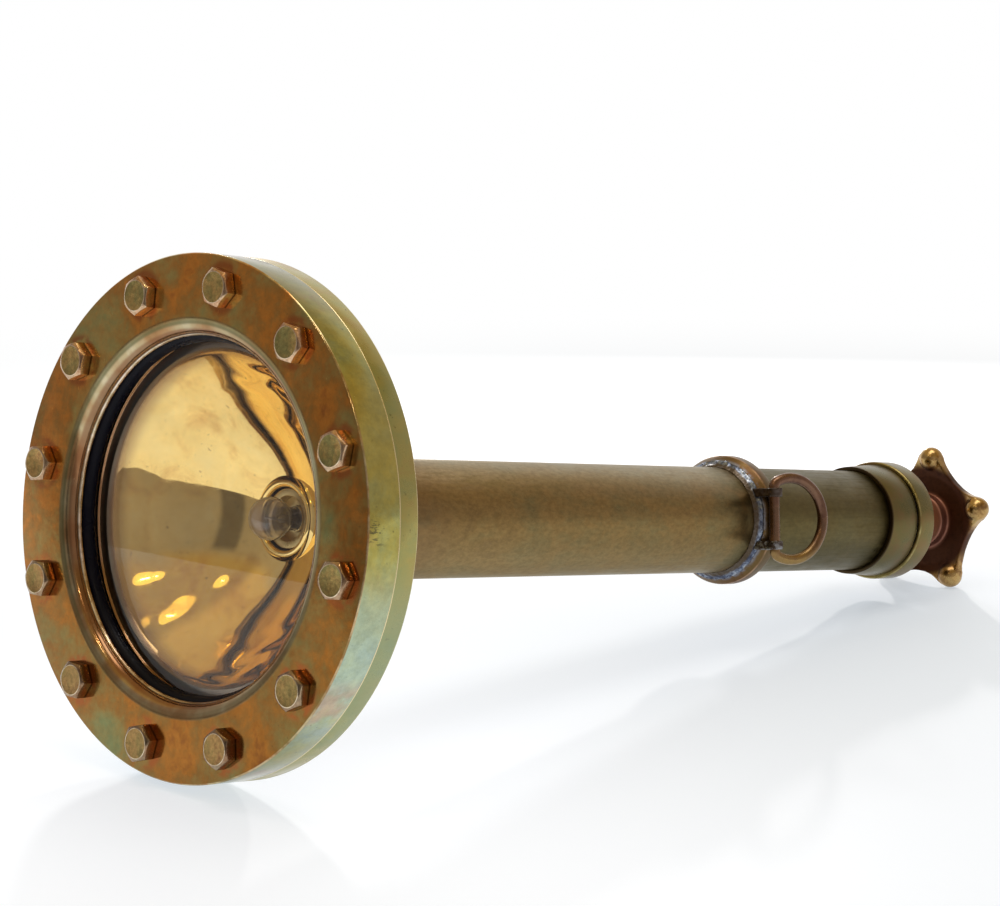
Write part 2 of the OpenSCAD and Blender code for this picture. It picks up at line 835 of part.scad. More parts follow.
// Nut that squeezes the packing
module gland_nut() {
    color("goldenrod") difference() {
        union() {
            disc(chamber_r - thread_play, packing_end_z, boss_end_z, tube_fn);
            hexagon(gland_af, boss_end_z, gland_end_z);
        }
        disc(spindle_bore_r, packing_end_z - 1, gland_end_z + 1, tube_fn);
    }
}

// Spindle of the screw switch, with a swivel at the disc and a stud for the knob nut
module spindle() {
    color("khaki") turned([
        [0, disc_z - swivel_play - swivel_head_t],
        [swivel_head_r, disc_z - swivel_play - swivel_head_t],
        [swivel_head_r, disc_z - swivel_play], [swivel_r, disc_z - swivel_play],
        [swivel_r, shoulder_z], [spindle_r, shoulder_z], [spindle_r, knob_z],
        [hub_r, knob_z], [hub_r, web_end_z - 0.2], [stud_r, web_end_z - 0.2],
        [stud_r, stud_end_z], [0, stud_end_z]
    ]);
}

// Disc on the spindle's swivel that carries the tail spring
module contact_disc() {
    color("goldenrod") ring(disc_d / 2, swivel_r + turn_play, disc_z, disc_z + disc_t, tube_fn);
}

// Widening spring that meets the last cell
module tail_spring() {
    color("silver")
        translate([0, 0, spring_z])
            coil(5, 8, 3, tail_spring_len, tail_spring_wire);
}

// Flat outline of the knob's web: arms between the hollows, ending at the lobes
module web_outline() {
    aim = atan2(hollow_out * sin(half_lobe), hollow_out * cos(half_lobe) - lobe_out);
    corner = [lobe_out + lobe_r * cos(aim), lobe_r * sin(aim)];
    corner_out = norm(corner);
    corner_at = atan2(corner[1], corner[0]);
    difference() {
        polygon([
            for (i = [0 : lobe_count - 1], side = [-1, 1])
                let (a = 2 * half_lobe * i + side * corner_at)
                corner_out * [cos(a), sin(a)]
        ]);
        for (i = [0 : lobe_count - 1])
            rotate(half_lobe * (2 * i + 1))
                translate([hollow_out, 0])
                    circle(r = hollow_r, $fn = 72);
    }
}

// Cast knob: collar, web with arms that thin towards their ends, and ball-shaped lobes
module star_knob() {
    arm = lobe_r * 0.5;
    far = lobe_out + lobe_r;
    color("saddlebrown") difference() {
        union() {
            disc(collar_d / 2, knob_z, web_z + 0.5, tube_fn);
            intersection() {
                translate([0, 0, lobe_z - lobe_r]) linear_extrude(2 * lobe_r) web_outline();
                turned([
                    [0, web_z], [lobe_out * 0.72, web_z], [lobe_out, lobe_z - arm],
                    [far, lobe_z - arm], [far, lobe_z + arm], [lobe_out, lobe_z + arm],
                    [lobe_out * 0.72, web_end_z], [0, web_end_z]
                ], 60);
            }
            for (i = [0 : lobe_count - 1])
                rotate([0, 0, 2 * half_lobe * i])
                    translate([lobe_out, 0, lobe_z])
                        sphere(r = lobe_r, $fn = small_fn);
        }
        disc(hub_r, knob_z - 1, web_end_z + 1, tube_fn);
    }
}

// Washer under the knob nut
module knob_washer() {
    color("goldenrod") ring(washer_r, stud_r + thread_play, web_end_z, nut_z, small_fn);
}

// Nut that holds the knob on the spindle
module knob_nut() {
    color("goldenrod") difference() {
        hexagon(nut_af, nut_z, nut_z + nut_h);
        disc(stud_r, nut_z - 1, nut_z + nut_h + 1, tube_fn);
    }
}

lay() front_ring();
lay() head_bolts();
lay() front_gasket();
lay() window();
lay() back_gasket();
lay() reflector();
lay() rear_flange();
lay() head_cone();
lay() holder_plate();
lay() holder_sleeve();
lay() lamp_socket();
lay() contact_block();
lay() contact_pin();
lay() contact_spring();
lay() bulb_glass();
lay() bulb_stem();
lay() bulb_filament();
lay() bulb_cap();
lay() bulb_insulator();
lay() bulb_tip();
lay() battery_tube();
lay() tube_liner();
lay() cell_cans();
lay() cell_jackets();
lay() cell_seals();
lay() cell_caps();
lay() band();
lay() band_solder();
lay() ring_eyes();
lay() d_ring();
lay() tail_sleeve();
lay() tail_seal();
lay() tail_cap();
lay() gland_packing();
lay() gland_nut();
lay() spindle();
lay() contact_disc();
lay() tail_spring();
lay() star_knob();
lay() knob_washer();
lay() knob_nut();
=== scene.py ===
"""The looks of the diving torch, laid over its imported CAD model.

Pieces are shaped in millimetres on the torch's own axis, z from the window to the knob, x up and
y towards the side with the D-ring, and are then laid down where the model lies.
"""
import math
import bmesh
import bpy
from mathutils import Matrix, Vector, noise


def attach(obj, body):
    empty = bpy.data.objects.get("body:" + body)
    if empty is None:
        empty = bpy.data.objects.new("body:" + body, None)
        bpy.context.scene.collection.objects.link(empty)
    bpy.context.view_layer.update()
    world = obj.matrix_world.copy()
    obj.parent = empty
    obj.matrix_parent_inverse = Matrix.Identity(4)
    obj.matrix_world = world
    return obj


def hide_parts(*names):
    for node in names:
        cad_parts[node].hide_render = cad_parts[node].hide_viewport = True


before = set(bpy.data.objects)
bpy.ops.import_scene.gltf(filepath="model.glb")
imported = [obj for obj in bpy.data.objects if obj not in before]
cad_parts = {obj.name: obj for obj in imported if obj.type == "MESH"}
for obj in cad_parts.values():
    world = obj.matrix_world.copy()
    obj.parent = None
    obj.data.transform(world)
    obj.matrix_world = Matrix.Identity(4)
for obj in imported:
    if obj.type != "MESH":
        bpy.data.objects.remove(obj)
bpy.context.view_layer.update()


# The studio: a white sweep under and behind the torch, and a dim room on the camera's side. The
# torch lies on its rim and two knob lobes, so its axis falls by a few degrees towards the knob.

tilt = math.radians(8.118465)
lift = 92.204884
shift = -220.227220
lay = Matrix.Scale(0.001, 4) @ Matrix((
    (math.sin(tilt), 0, math.cos(tilt), shift),
    (0, -1, 0, 0),
    (math.cos(tilt), 0, -math.sin(tilt), lift),
    (0, 0, 0, 1),
))


class Level:
    """A value that varies over a surface. Arithmetic on it adds Math nodes."""

    def __init__(self, recipe, socket):
        self.recipe = recipe
        self.socket = socket

    def maths(self, operation, *values):
        return self.recipe.node("ShaderNodeMath", {"operation": operation}, dict(enumerate(values)))

    def __add__(self, other):
        return self.maths("ADD", self, other)

    def __radd__(self, other):
        return self.maths("ADD", other, self)

    def __sub__(self, other):
        return self.maths("SUBTRACT", self, other)

    def __rsub__(self, other):
        return self.maths("SUBTRACT", other, self)

    def __mul__(self, other):
        return self.maths("MULTIPLY", self, other)

    def __rmul__(self, other):
        return self.maths("MULTIPLY", other, self)

    def __truediv__(self, other):
        return self.maths("DIVIDE", self, other)

    def __pow__(self, other):
        return self.maths("POWER", self, other)

    def __abs__(self):
        return self.maths("ABSOLUTE", self)

    def low(self, other):
        return self.maths("MINIMUM", self, other)

    def high(self, other):
        return self.maths("MAXIMUM", self, other)


class Recipe:
    """The nodes of one finish, light or background, made one by one from the inputs on."""

    def __init__(self, owner):
        owner.use_nodes = True
        self.owner = owner
        self.tree = owner.node_tree
        self.tree.nodes.clear()

    def node(self, kind, settings=(), sockets=(), out=0):
        made = self.tree.nodes.new(kind)
        for name, value in dict(settings).items():
            if name == "stops":
                bands = made.color_ramp.elements
                bands.remove(bands[1])
                bands[0].position, bands[0].color = value[0]
                for at, colour in value[1:]:
                    bands.new(at).color = colour
            else:
                setattr(made, name, value)
        for name, value in dict(sockets).items():
            if isinstance(value, Level):
                self.tree.links.new(value.socket, made.inputs[name])
            else:
                made.inputs[name].default_value = value
        return Level(self, made.outputs[out]) if made.outputs else None

    def step(self, value, start, end, low=0.0, high=1.0):
        """Goes smoothly from low to high while value goes from start to end."""
        return self.node("ShaderNodeMapRange", {"interpolation_type": "SMOOTHSTEP"},
                         {"Value": value, "From Min": start, "From Max": end,
                          "To Min": low, "To Max": high})

    def blend(self, share, first, second, how="MIX"):
        return self.node("ShaderNodeMix", {"data_type": "RGBA", "blend_type": how},
                         {0: share, 6: first, 7: second}, out=2)

    def cloud(self, place, size, detail=2.0, rough=0.5, swirl=0.0, kind="FBM"):
        """Noise from 0 to 1 whose patches are about size across."""
        return self.node("ShaderNodeTexNoise", {"noise_type": kind},
                         {"Vector": place, "Scale": 1 / size, "Detail": detail,
                          "Roughness": rough, "Distortion": swirl})

    def scaled(self, colour, level):
        return self.node("ShaderNodeVectorMath", {"operation": "SCALE"}, {0: colour, "Scale": level})

    def bands(self, value, *stops):
        return self.node("ShaderNodeValToRGB", {"stops": stops}, {"Fac": value})

    def parts(self, place):
        split = self.node("ShaderNodeSeparateXYZ", sockets={"Vector": place})
        outputs = split.socket.node.outputs
        return [Level(self, socket) for socket in outputs]

    def stretched(self, place, x, y, z):
        return self.node("ShaderNodeVectorMath", {"operation": "MULTIPLY"},
                         {0: place, 1: (x, y, z)})

    def bench(self):
        """Places in millimetres on the torch's own axes."""
        return self.node("ShaderNodeMapping", {"vector_type": "TEXTURE"}, {
            "Vector": self.node("ShaderNodeTexCoord", out="Object"),
            "Location": lay.to_translation(), "Rotation": lay.to_quaternion().to_euler(),
            "Scale": (0.001, 0.001, 0.001)})

    def relief(self, height, depth, under=None):
        """Bumps whose full height is depth millimetres."""
        sockets = {"Height": height, "Strength": 1.0, "Distance": depth / 1000}
        if under is not None:
            sockets["Normal"] = under
        return self.node("ShaderNodeBump", sockets=sockets)

    def surface(self, **sockets):
        named = {name.replace("_", " "): value for name, value in sockets.items()}
        skin = self.node("ShaderNodeBsdfPrincipled", sockets=named)
        self.node("ShaderNodeOutputMaterial", sockets={"Surface": skin})
        return self.owner


def seen(red, green, blue):
    """A colour as it looks on a screen, from 0 to 255, as the shaders want it."""
    def linear(value):
        value /= 255
        return value / 12.92 if value <= 0.04045 else ((value + 0.055) / 1.055) ** 2.4
    return (linear(red), linear(green), linear(blue), 1.0)


camera = bpy.data.objects.new("camera", bpy.data.cameras.new("camera"))
camera.data.lens = 91.78
camera.data.sensor_width = 36
camera.data.clip_start = 0.05
looking = Vector((0.71668, 0.67774, -0.16453))
to_right = Vector((0.68710, -0.72656, 0.0))
upward = Vector((0.11943, 0.11305, 0.98637))
camera.matrix_world = Matrix((
    (to_right.x, upward.x, -looking.x, -0.7620),
    (to_right.y, upward.y, -looking.y, -0.6600),
    (to_right.z, upward.z, -looking.z, 0.2559),
    (0, 0, 0, 1),
))
bpy.context.scene.collection.objects.link(camera)
bpy.context.scene.camera = camera
bpy.context.scene.view_settings.view_transform = "Standard"

bpy.context.scene.world = bpy.data.worlds.new("studio")
studio = Recipe(bpy.context.scene.world)
ray = studio.node("ShaderNodeTexCoord", out="Generated")
ray_x, ray_y, ray_z = studio.parts(ray)
ahead = ray_x * 0.7266 + ray_y * 0.6871
aside = ray_x * 0.6871 - ray_y * 0.7266
sweep = studio.step(ahead, 0.50, 0.84)
room = studio.step(aside, -0.30, 0.30, 0.27, 0.47) + studio.step(ahead, -0.75, 0.10, 0.0, 0.08)
ceiling = studio.step(ray_z, 0.48, 0.62)
ceiling_glow = studio.step(ahead, -0.30, -0.12, 0.35, 0.54)
cabinet = studio.step(abs(ahead * 0.62 - aside * 0.78), 0.17, 0.09) * studio.step(ahead, -0.2, -0.4) \
    * studio.step(ray_z, 0.55, 0.45)
glow = (room + ceiling * (ceiling_glow - room)) * (1.0 - cabinet * 0.6)
glow = glow + sweep * (1.0 - glow)
path = studio.node("ShaderNodeLightPath")
of_camera = path
of_glass = Level(studio, path.socket.node.outputs["Is Transmission Ray"])
of_metal = Level(studio, path.socket.node.outputs["Is Glossy Ray"])
white_there = of_camera.high(of_glass * (1.0 - of_metal))
dim = (1.0 - sweep) * (1.0 - white_there)
warm = ceiling * dim
studio.node("ShaderNodeOutputWorld", sockets={"Surface": studio.node("ShaderNodeBackground", sockets={
    "Color": studio.blend(warm, studio.blend(dim, (1.0, 1.0, 1.0, 1.0), (1.0, 0.90, 0.83, 1.0)),
                          (1.0, 0.76, 0.38, 1.0)),
    "Strength": glow + white_there * (1.0 - glow)})})


def lamp(name, kind, towards, strength, colour=(1.0, 1.0, 1.0), away=1.6, aim=(0.0, 0.0, 0.0), **sizes):
    """A lamp that stands in the given direction from the place it is aimed at."""
    data = bpy.data.lights.new(name, kind)
    data.energy = strength
    data.color = colour
    for size, value in sizes.items():
        setattr(data, size, value)
    made = bpy.data.objects.new(name, data)
    direction = Vector(towards).normalized()
    turn = direction.to_track_quat("Z", "Y").to_matrix().to_4x4()
    made.matrix_world = Matrix.Translation(Vector(aim) + direction * away) @ turn
    bpy.context.scene.collection.objects.link(made)
    return made


low_key = lamp("low_key", "AREA", (0.7715, 0.5794, 0.2629), 8.0, (1.0, 0.92, 0.84), away=0.91,
               aim=(0.083, -0.033, 0.054), shape="DISK", size=0.03)
low_key.visible_glossy = False
lamp("far_key", "SUN", (0.60, 0.73, 0.33), 0.35, angle=math.radians(4))
lamp("overhead", "AREA", (0.0, 0.0, 1.0), 4.4, away=1.3, shape="RECTANGLE", size=1.1, size_y=0.5)
lamp("high", "AREA", (0.20, -0.25, 1.0), 1.2, shape="DISK", size=0.45)
for number, towards in enumerate(((-0.666, -0.332, 0.668), (-0.520, 0.022, 0.854),
                                  (-0.653, 0.140, 0.744))):
    lamp(f"warm_shade_{number}", "AREA", towards, 0.11, (1.0, 0.78, 0.22), away=1.5,
         aim=(-0.21, 0.0, 0.09), shape="DISK", size=0.20)
    lamp(f"warm_bulb_{number}", "AREA", towards, 0.30, (1.0, 0.85, 0.62), away=1.4,
         aim=(-0.21, 0.0, 0.09), shape="DISK", size=0.02)

ground = bmesh.new()
for far, out in ((-0.52, -3.5), (-0.52, 3.5), (3.5, 3.5), (3.5, -3.5)):
    ground.verts.new((0.7266 * far + 0.6871 * out, 0.6871 * far - 0.7266 * out, 0))
ground.faces.new(ground.verts[:])
bmesh.ops.recalc_face_normals(ground, faces=ground.faces[:])
floor_mesh = bpy.data.meshes.new("floor")
ground.to_mesh(floor_mesh)
ground.free()
floor = bpy.data.objects.new("floor", floor_mesh)
bpy.context.scene.collection.objects.link(floor)
paper = Recipe(bpy.data.materials.new("floor_paper"))
ground_x, ground_y, _ = paper.parts(paper.node("ShaderNodeTexCoord", out="Object"))
far_off = paper.step((ground_x * ground_x + ground_y * ground_y) ** 0.5, 0.45, 1.3)
ground_ahead = ground_x * 0.7266 + ground_y * 0.6871
ground_aside = ground_x * 0.6871 - ground_y * 0.7266
near_edge = paper.step(ground_ahead, -0.34, -0.50)
nearer = paper.step(ground_ahead, 0.10, -0.28) * paper.step(ground_aside, 0.14, -0.06, 0.40, 1.0)
sheet_white = paper.node("ShaderNodeBsdfPrincipled", sockets={
    "Base Color": (0.385, 0.40, 0.43, 1.0), "Roughness": 0.6, 
    "Emission Color": paper.blend(nearer, (0.585, 0.645, 0.71, 1.0), (0.87, 0.91, 0.97, 1.0)),
    "Emission Strength": 0.75})
plain_white = paper.node("ShaderNodeEmission", sockets={"Color": (1.0, 1.0, 1.0, 1.0)})
paper.node("ShaderNodeOutputMaterial", sockets={"Surface": paper.node(
    "ShaderNodeMixShader", sockets={0: far_off.high(near_edge), 1: sheet_white, 2: plain_white})})
floor_mesh.materials.append(paper.owner)


# The front clamp ring: turned brass with a rounded bead round its bore. The torch was heated and
# left to tarnish, so olive, green and rust-brown clouds lie on the polish.

bolt_circle = 79.4
bolt_phase = 6.9
bolt_count = 12


def turned(outline, steps=192, closed=True):
    """A piece turned on the lathe from an outline of (radius, height) points."""
    bm = bmesh.new()
    points = [bm.verts.new((r, 0, z)) for r, z in outline]
    for first, second in zip(points, points[1:]):
        bm.edges.new((first, second))
    if closed:
        bm.edges.new((points[-1], points[0]))
    bmesh.ops.spin(bm, geom=bm.verts[:] + bm.edges[:], cent=(0, 0, 0), axis=(0, 0, 1),
                   dvec=(0, 0, 0), angle=math.tau, steps=steps, use_merge=True)
    bmesh.ops.remove_doubles(bm, verts=bm.verts[:], dist=1e-4)
    bmesh.ops.recalc_face_normals(bm, faces=bm.faces[:])
    return bm


def eased(bm, width, segments=3, sharper_than=30.0):
    """Rounds every edge that is sharper than an angle."""
    edges = [edge for edge in bm.edges
             if edge.is_manifold and edge.calc_face_angle() > math.radians(sharper_than)]
    bmesh.ops.bevel(bm, geom=edges, offset=width, offset_type="OFFSET", segments=segments,
                    profile=0.5, affect="EDGES", clamp_overlap=True, material=-1)
    return bm


def arc(r, z, radius, start, end, steps):
    """Points of an outline along an arc, in degrees from the radius towards the height."""
    angles = [math.radians(start + (end - start) * i / steps) for i in range(steps + 1)]
    return [(r + radius * math.cos(a), z + radius * math.sin(a)) for a in angles]


def fitted(bm, name, body, slot, finish, *nodes, crease=35.0):
    """Lays a finished shape in its place on the torch, hangs it on the body it rides on and hides the CAD solids it
    stands for.
    """
    bm.transform(lay)
    mesh = bpy.data.meshes.new(name)
    bm.to_mesh(mesh)
    bm.free()
    mesh.materials.append(finish)
    mesh.shade_smooth()
    mesh.set_sharp_from_angle(angle=math.radians(crease))
    piece = bpy.data.objects.new(name, mesh)
    bpy.context.scene.collection.objects.link(piece)
    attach(piece, body)
    if nodes:
        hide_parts(*nodes)
    return piece


def from_axis(recipe, place):
    """Distance from the torch's axis, turn round it from the top, and height along it."""
    x, y, z = recipe.parts(place)
    return (x * x + y * y) ** 0.5, recipe.node("ShaderNodeMath", {"operation": "ARCTAN2"}, {0: y, 1: x}), z


def from_bolt(recipe, reach, turn):
    """Distance across the face from the middle of the nearest bolt."""
    gap = 360 / bolt_count
    turns = recipe.node("ShaderNodeMath", {"operation": "WRAP"}, {
        0: turn * (180 / math.pi) - bolt_phase, 1: -gap / 2, 2: gap / 2})
    along = turns * (math.pi / 180) * bolt_circle
    across = reach - bolt_circle
    return (along * along + across * across) ** 0.5


def tarnished(recipe, place, size, *stops, lean=0.0):
    """Clouds of tarnish in the given colours, with finer mottling and dark pin marks in them."""
    broad = recipe.cloud(place, size, 3.0, 0.55, 0.6)
    patchy = recipe.cloud(place, size / 4.5, 4.0, 0.62, 0.4)
    mottle = recipe.cloud(place, size / 22, 4.0, 0.68)
    shade = broad * 0.66 + patchy * 0.40 + (mottle - 0.5) * 0.14 - 0.03 + lean
    colour = recipe.bands(shade, *stops)
    pins = recipe.cloud(place, size / 30, 2.0, 0.5)
    return recipe.blend(recipe.step(pins, 0.68, 0.76, 0.0, 0.45), colour, (0.05, 0.03, 0.015, 1.0)), shade


def near(recipe, x, y, *spots):
    """Soft round patches at the given places on the face: 1 in the middle of each, 0 outside."""
    most = None
    for spot_x, spot_y, size in spots:
        off = ((x - spot_x) ** 2 + (y - spot_y) ** 2) ** 0.5
        patch = recipe.step(off, size, size * 0.25)
        most = patch if most is None else most.high(patch)
    return most


def ring_finish():
    recipe = Recipe(bpy.data.materials.new("ring_brass"))
    place = recipe.bench()
    x, y, _ = recipe.parts(place)
    reach, turn, z = from_axis(recipe, place)
    green = near(recipe, x, y, (84, -22, 14), (60, -54, 22), (-81, -28, 15), (76, 51, 11), (6, 71, 9),
                 (40, 75, 8))
    rust = near(recipe, x, y, (25, -80, 20), (-11, -80, 24), (-84, 10, 18), (-72, 46, 16), (67, 32, 14),
                (46, 63, 11), (82, 22, 12))
    face, shade = tarnished(
        recipe, place, 30.0,
        (0.26, (0.24, 0.25, 0.10, 1.0)), (0.40, (0.31, 0.22, 0.070, 1.0)),
        (0.52, (0.34, 0.165, 0.040, 1.0)), (0.62, (0.46, 0.18, 0.032, 1.0)),
        (0.76, (0.25, 0.085, 0.026, 1.0)), lean=green * -0.13 + rust * 0.07)
    fine = recipe.step(recipe.cloud(place, 3.4, 4.0, 0.62), 0.25, 0.75, 0.90, 1.10)
    # Painted light and shade: besides the fine mottle, the face is lighter towards the top and darker towards the +y
    # side.
    face = recipe.scaled(face, recipe.step(x, -60.0, 75.0, 0.86, 1.50) * recipe.step(y, -30.0, 75.0, 1.0, 0.80) * fine)
    halo = recipe.step(abs(from_bolt(recipe, reach, turn) - 7.6), 2.8, 0.2)
    rusted = halo * recipe.step(recipe.cloud(place, 7.0, 3.0), 0.38, 0.55)
    face = recipe.blend(rusted * 0.75, face, (0.34, 0.09, 0.025, 1.0))
    side, _ = tarnished(
        recipe, place, 60.0,
        (0.30, (0.27, 0.33, 0.26, 1.0)), (0.44, (0.33, 0.34, 0.14, 1.0)),
        (0.57, (0.40, 0.34, 0.085, 1.0)), (0.72, (0.40, 0.24, 0.10, 1.0)),
        lean=recipe.step(x, 10.0, -40.0, 0.05, -0.14))
    side = recipe.blend(recipe.step(x, 2.0, -22.0) * recipe.step(x, -62.0, -42.0) * 0.55, side, (0.34, 0.44, 0.37, 1.0))
    side = recipe.blend(recipe.step(x, 12.0, 32.0) * recipe.step(x, 62.0, 48.0) * 0.5, side, (0.46, 0.35, 0.085, 1.0))
    rose = near(recipe, x, y, (-52, 73, 14), (-80, 40, 12)) * recipe.step(recipe.cloud(place, 8.0, 3.0), 0.35, 0.6)
    side = recipe.blend(rose * 0.6, side, (0.40, 0.24, 0.17, 1.0))
    scuffs = near(recipe, x, z, (7.0, 3.6, 7.0)) * recipe.step(y, 60.0, 80.0) \
        * recipe.step(recipe.cloud(recipe.stretched(place, 1.0, 1.0, 0.22), 0.9, 3.0, 0.7), 0.54, 0.60)
    side = recipe.blend(scuffs * 0.7, side, (0.05, 0.05, 0.04, 1.0))
    # Painted light and shade on the side: besides random mottle, it is paler towards the lower side and darker near the
    # very bottom and near the top.
    side = recipe.scaled(side, recipe.step(recipe.cloud(place, 5.0, 5.0, 0.7), 0.25, 0.75, 0.85, 1.17)
                         * recipe.step(x, 10.0, -50.0, 1.0, 1.32) * recipe.step(x, -50.0, -76.0, 1.0, 0.56) * recipe.step(x, 62.0, 82.0, 1.0, 0.55))
    colour = recipe.blend(recipe.step(z, 0.35, 0.6) * recipe.step(reach, 80.0, 88.0), face, side)
    roll = recipe.step(reach, 68.6, 66.6)
    streak = recipe.cloud(place, 20.0, 4.0, 0.55)
    bare = recipe.bands(streak, (0.30, (0.25, 0.12, 0.045, 1.0)), (0.46, (0.42, 0.25, 0.12, 1.0)),
                        (0.60, (0.53, 0.44, 0.26, 1.0)), (0.72, (0.72, 0.66, 0.47, 1.0)))
    colour = recipe.blend(roll * 0.9, colour, bare)
    # Painted shade: a thin dark line where the face turns into the roll.
    colour = recipe.blend(recipe.step(reach, 68.6, 67.9) * recipe.step(reach, 66.9, 67.6) * 0.4, colour,
                          (0.10, 0.08, 0.04, 1.0))
    inner_third = recipe.step(reach, 64.9, 63.9) * recipe.step(z, 4.0, 3.6)
    colour = recipe.blend(inner_third * roll * 0.65, colour, (0.22, 0.085, 0.04, 1.0))
    # Painted shade: darker olive on the outer part of the roll, weaker towards the bottom.
    outer_third = recipe.step(reach, 65.4, 66.4) * recipe.step(x, -80.0, -20.0, 0.2, 1.0)
    colour = recipe.blend(outer_third * roll * 0.75, colour, (0.13, 0.13, 0.055, 1.0))
    # Painted highlight: a broken bright line along the lip's edge, stronger towards -y.
    lip = recipe.step(z, 3.9, 4.2) * recipe.step(reach, 64.0, 63.2)
    glint = recipe.step(recipe.cloud(place, 7.0, 4.0, 0.7), 0.42, 0.60, 0.15, 0.85) * recipe.step(y, 10.0, -40.0, 0.5, 1.0)
    colour = recipe.blend(lip * glint, colour, (0.92, 0.78, 0.64, 1.0))
    # Painted shade: a dark line in the crease between the lip and the roll.
    groove = recipe.step(abs(z - 4.12), 0.30, 0.05) * recipe.step(reach, 64.0, 63.2)
    colour = recipe.blend(groove * 0.8, colour, (0.05, 0.03, 0.02, 1.0))
    worn = recipe.step(recipe.cloud(place, 9.0, 4.0, 0.65), 0.36, 0.62)
    # Brighter brass on the front outer edge, partly worn bare and partly painted highlight, and a painted highlight
    # line along the seam with the rear flange.
    rim = recipe.step(abs(z - 0.2) + abs(reach - 89.8), 0.6, 0.3)
    seam = recipe.step(z, 13.75, 13.95) * recipe.step(reach, 89.0, 89.6)
    bright = (rim * (0.10 + 0.50 * worn)).high(seam * 0.8)
    colour = recipe.blend(bright, colour, (0.80, 0.70, 0.44, 1.0))
    smudge = recipe.cloud(place, 15.0, 4.0, 0.6)
    scratches = recipe.step(recipe.cloud(recipe.stretched(place, 0.12, 1.0, 0.16), 0.55, 1.0), 0.70, 0.80)
    rough = recipe.step(smudge, 0.30, 0.72, 0.10, 0.24) + scratches * 0.10 + groove * 0.3
    dents = recipe.relief(recipe.cloud(place, 6.0, 2.0, 0.5), 0.03)
    grain = recipe.relief(recipe.cloud(place, 0.5, 2.0, 0.6), 0.003, dents)
    return recipe.surface(Base_Color=colour, Metallic=1.0, Roughness=rough, Normal=grain)


rolled_in = [(62.8 + 5.6 * (1 - math.cos(a)), 4.05 * (1 - math.sin(a)))
             for a in [math.pi / 2 * i / 16 for i in range(17)]]
clamp_ring = turned(
    [(89.6, 0), (90, 0.4), (90, 13.9), (89.9, 14), (68.3, 14), (68.3, 6.3)]
    + arc(63.35, 5.2, 1.1, 110, 250, 8) + rolled_in, 256)
eased(clamp_ring, 0.12, 2, 40)
ring_brass = ring_finish()
fitted(clamp_ring, "clamp_ring", "torch", "ring_brass", ring_brass, "front_ring")


# Twelve hexagon-headed brass bolts: turned tops with a chamfer that leaves an arc on every flat,
# plain shanks into the rear flange, each left at the turn where it came tight.

bolt_turns = (-17, -22, 7, 23, 3, -9, 13, -28, 29, 21, 9, 0)


def bolt_head(bm, across_flats, height, top, base, chamfer, turn):
    """One hexagon with a chamfered top at height, standing on base. Returns its lower rim."""
    made = bmesh.ops.create_circle(bm, segments=72, radius=1.0)["verts"]
    loop = sorted(made, key=lambda vert: math.atan2(vert.co.y, vert.co.x))
    slope = chamfer / (across_flats / 2 / math.cos(math.radians(30)) + 0.1 - top)
    rims = {}
    for vert in loop:
        angle = math.atan2(vert.co.y, vert.co.x)
        off_flat = (angle + math.pi / 6) % (math.pi / 3) - math.pi / 6
        rims[vert] = across_flats / 2 / math.cos(math.pi / 6 - abs(off_flat))
    edges = list({edge for vert in loop for edge in vert.link_edges})
    sides = bmesh.ops.extrude_edge_only(bm, edges=edges)["geom"]
    upper = [item for item in sides if isinstance(item, bmesh.types.BMVert)]
    lower_rims = [(vert, rims[vert]) for vert in loop]
    turned_by = Matrix.Rotation(math.radians(turn), 3, "Z")
    for vert in upper:
        angle = math.atan2(vert.co.y, vert.co.x)
        off_flat = (angle + math.pi / 6) % (math.pi / 3) - math.pi / 6
        rim = across_flats / 2 / math.cos(math.pi / 6 - abs(off_flat))
        vert.co = Vector((math.cos(angle) * rim, math.sin(angle) * rim,
                          height - math.copysign(slope, height - base) * (rim - top)))
    for vert, rim in lower_rims:
        vert.co = Vector((vert.co.x * rim, vert.co.y * rim, base))
    edges = [item for item in sides if isinstance(item, bmesh.types.BMEdge)]
    for radius, level in ((top, height), (top * 0.93, height - math.copysign(0.04, height - base))):
        grown = bmesh.ops.extrude_edge_only(bm, edges=edges)["geom"]
        for item in grown:
            if isinstance(item, bmesh.types.BMVert):
                flat = Vector((item.co.x, item.co.y, 0)).normalized() * radius
                item.co = Vector((flat.x, flat.y, level))
        edges = [item for item in grown if isinstance(item, bmesh.types.BMEdge)]
    bmesh.ops.edgeloop_fill(bm, edges=edges)
    bmesh.ops.rotate(bm, verts=bm.verts[:], cent=(0, 0, 0), matrix=turned_by)
    return [edge for edge in bm.edges if edge.is_boundary]


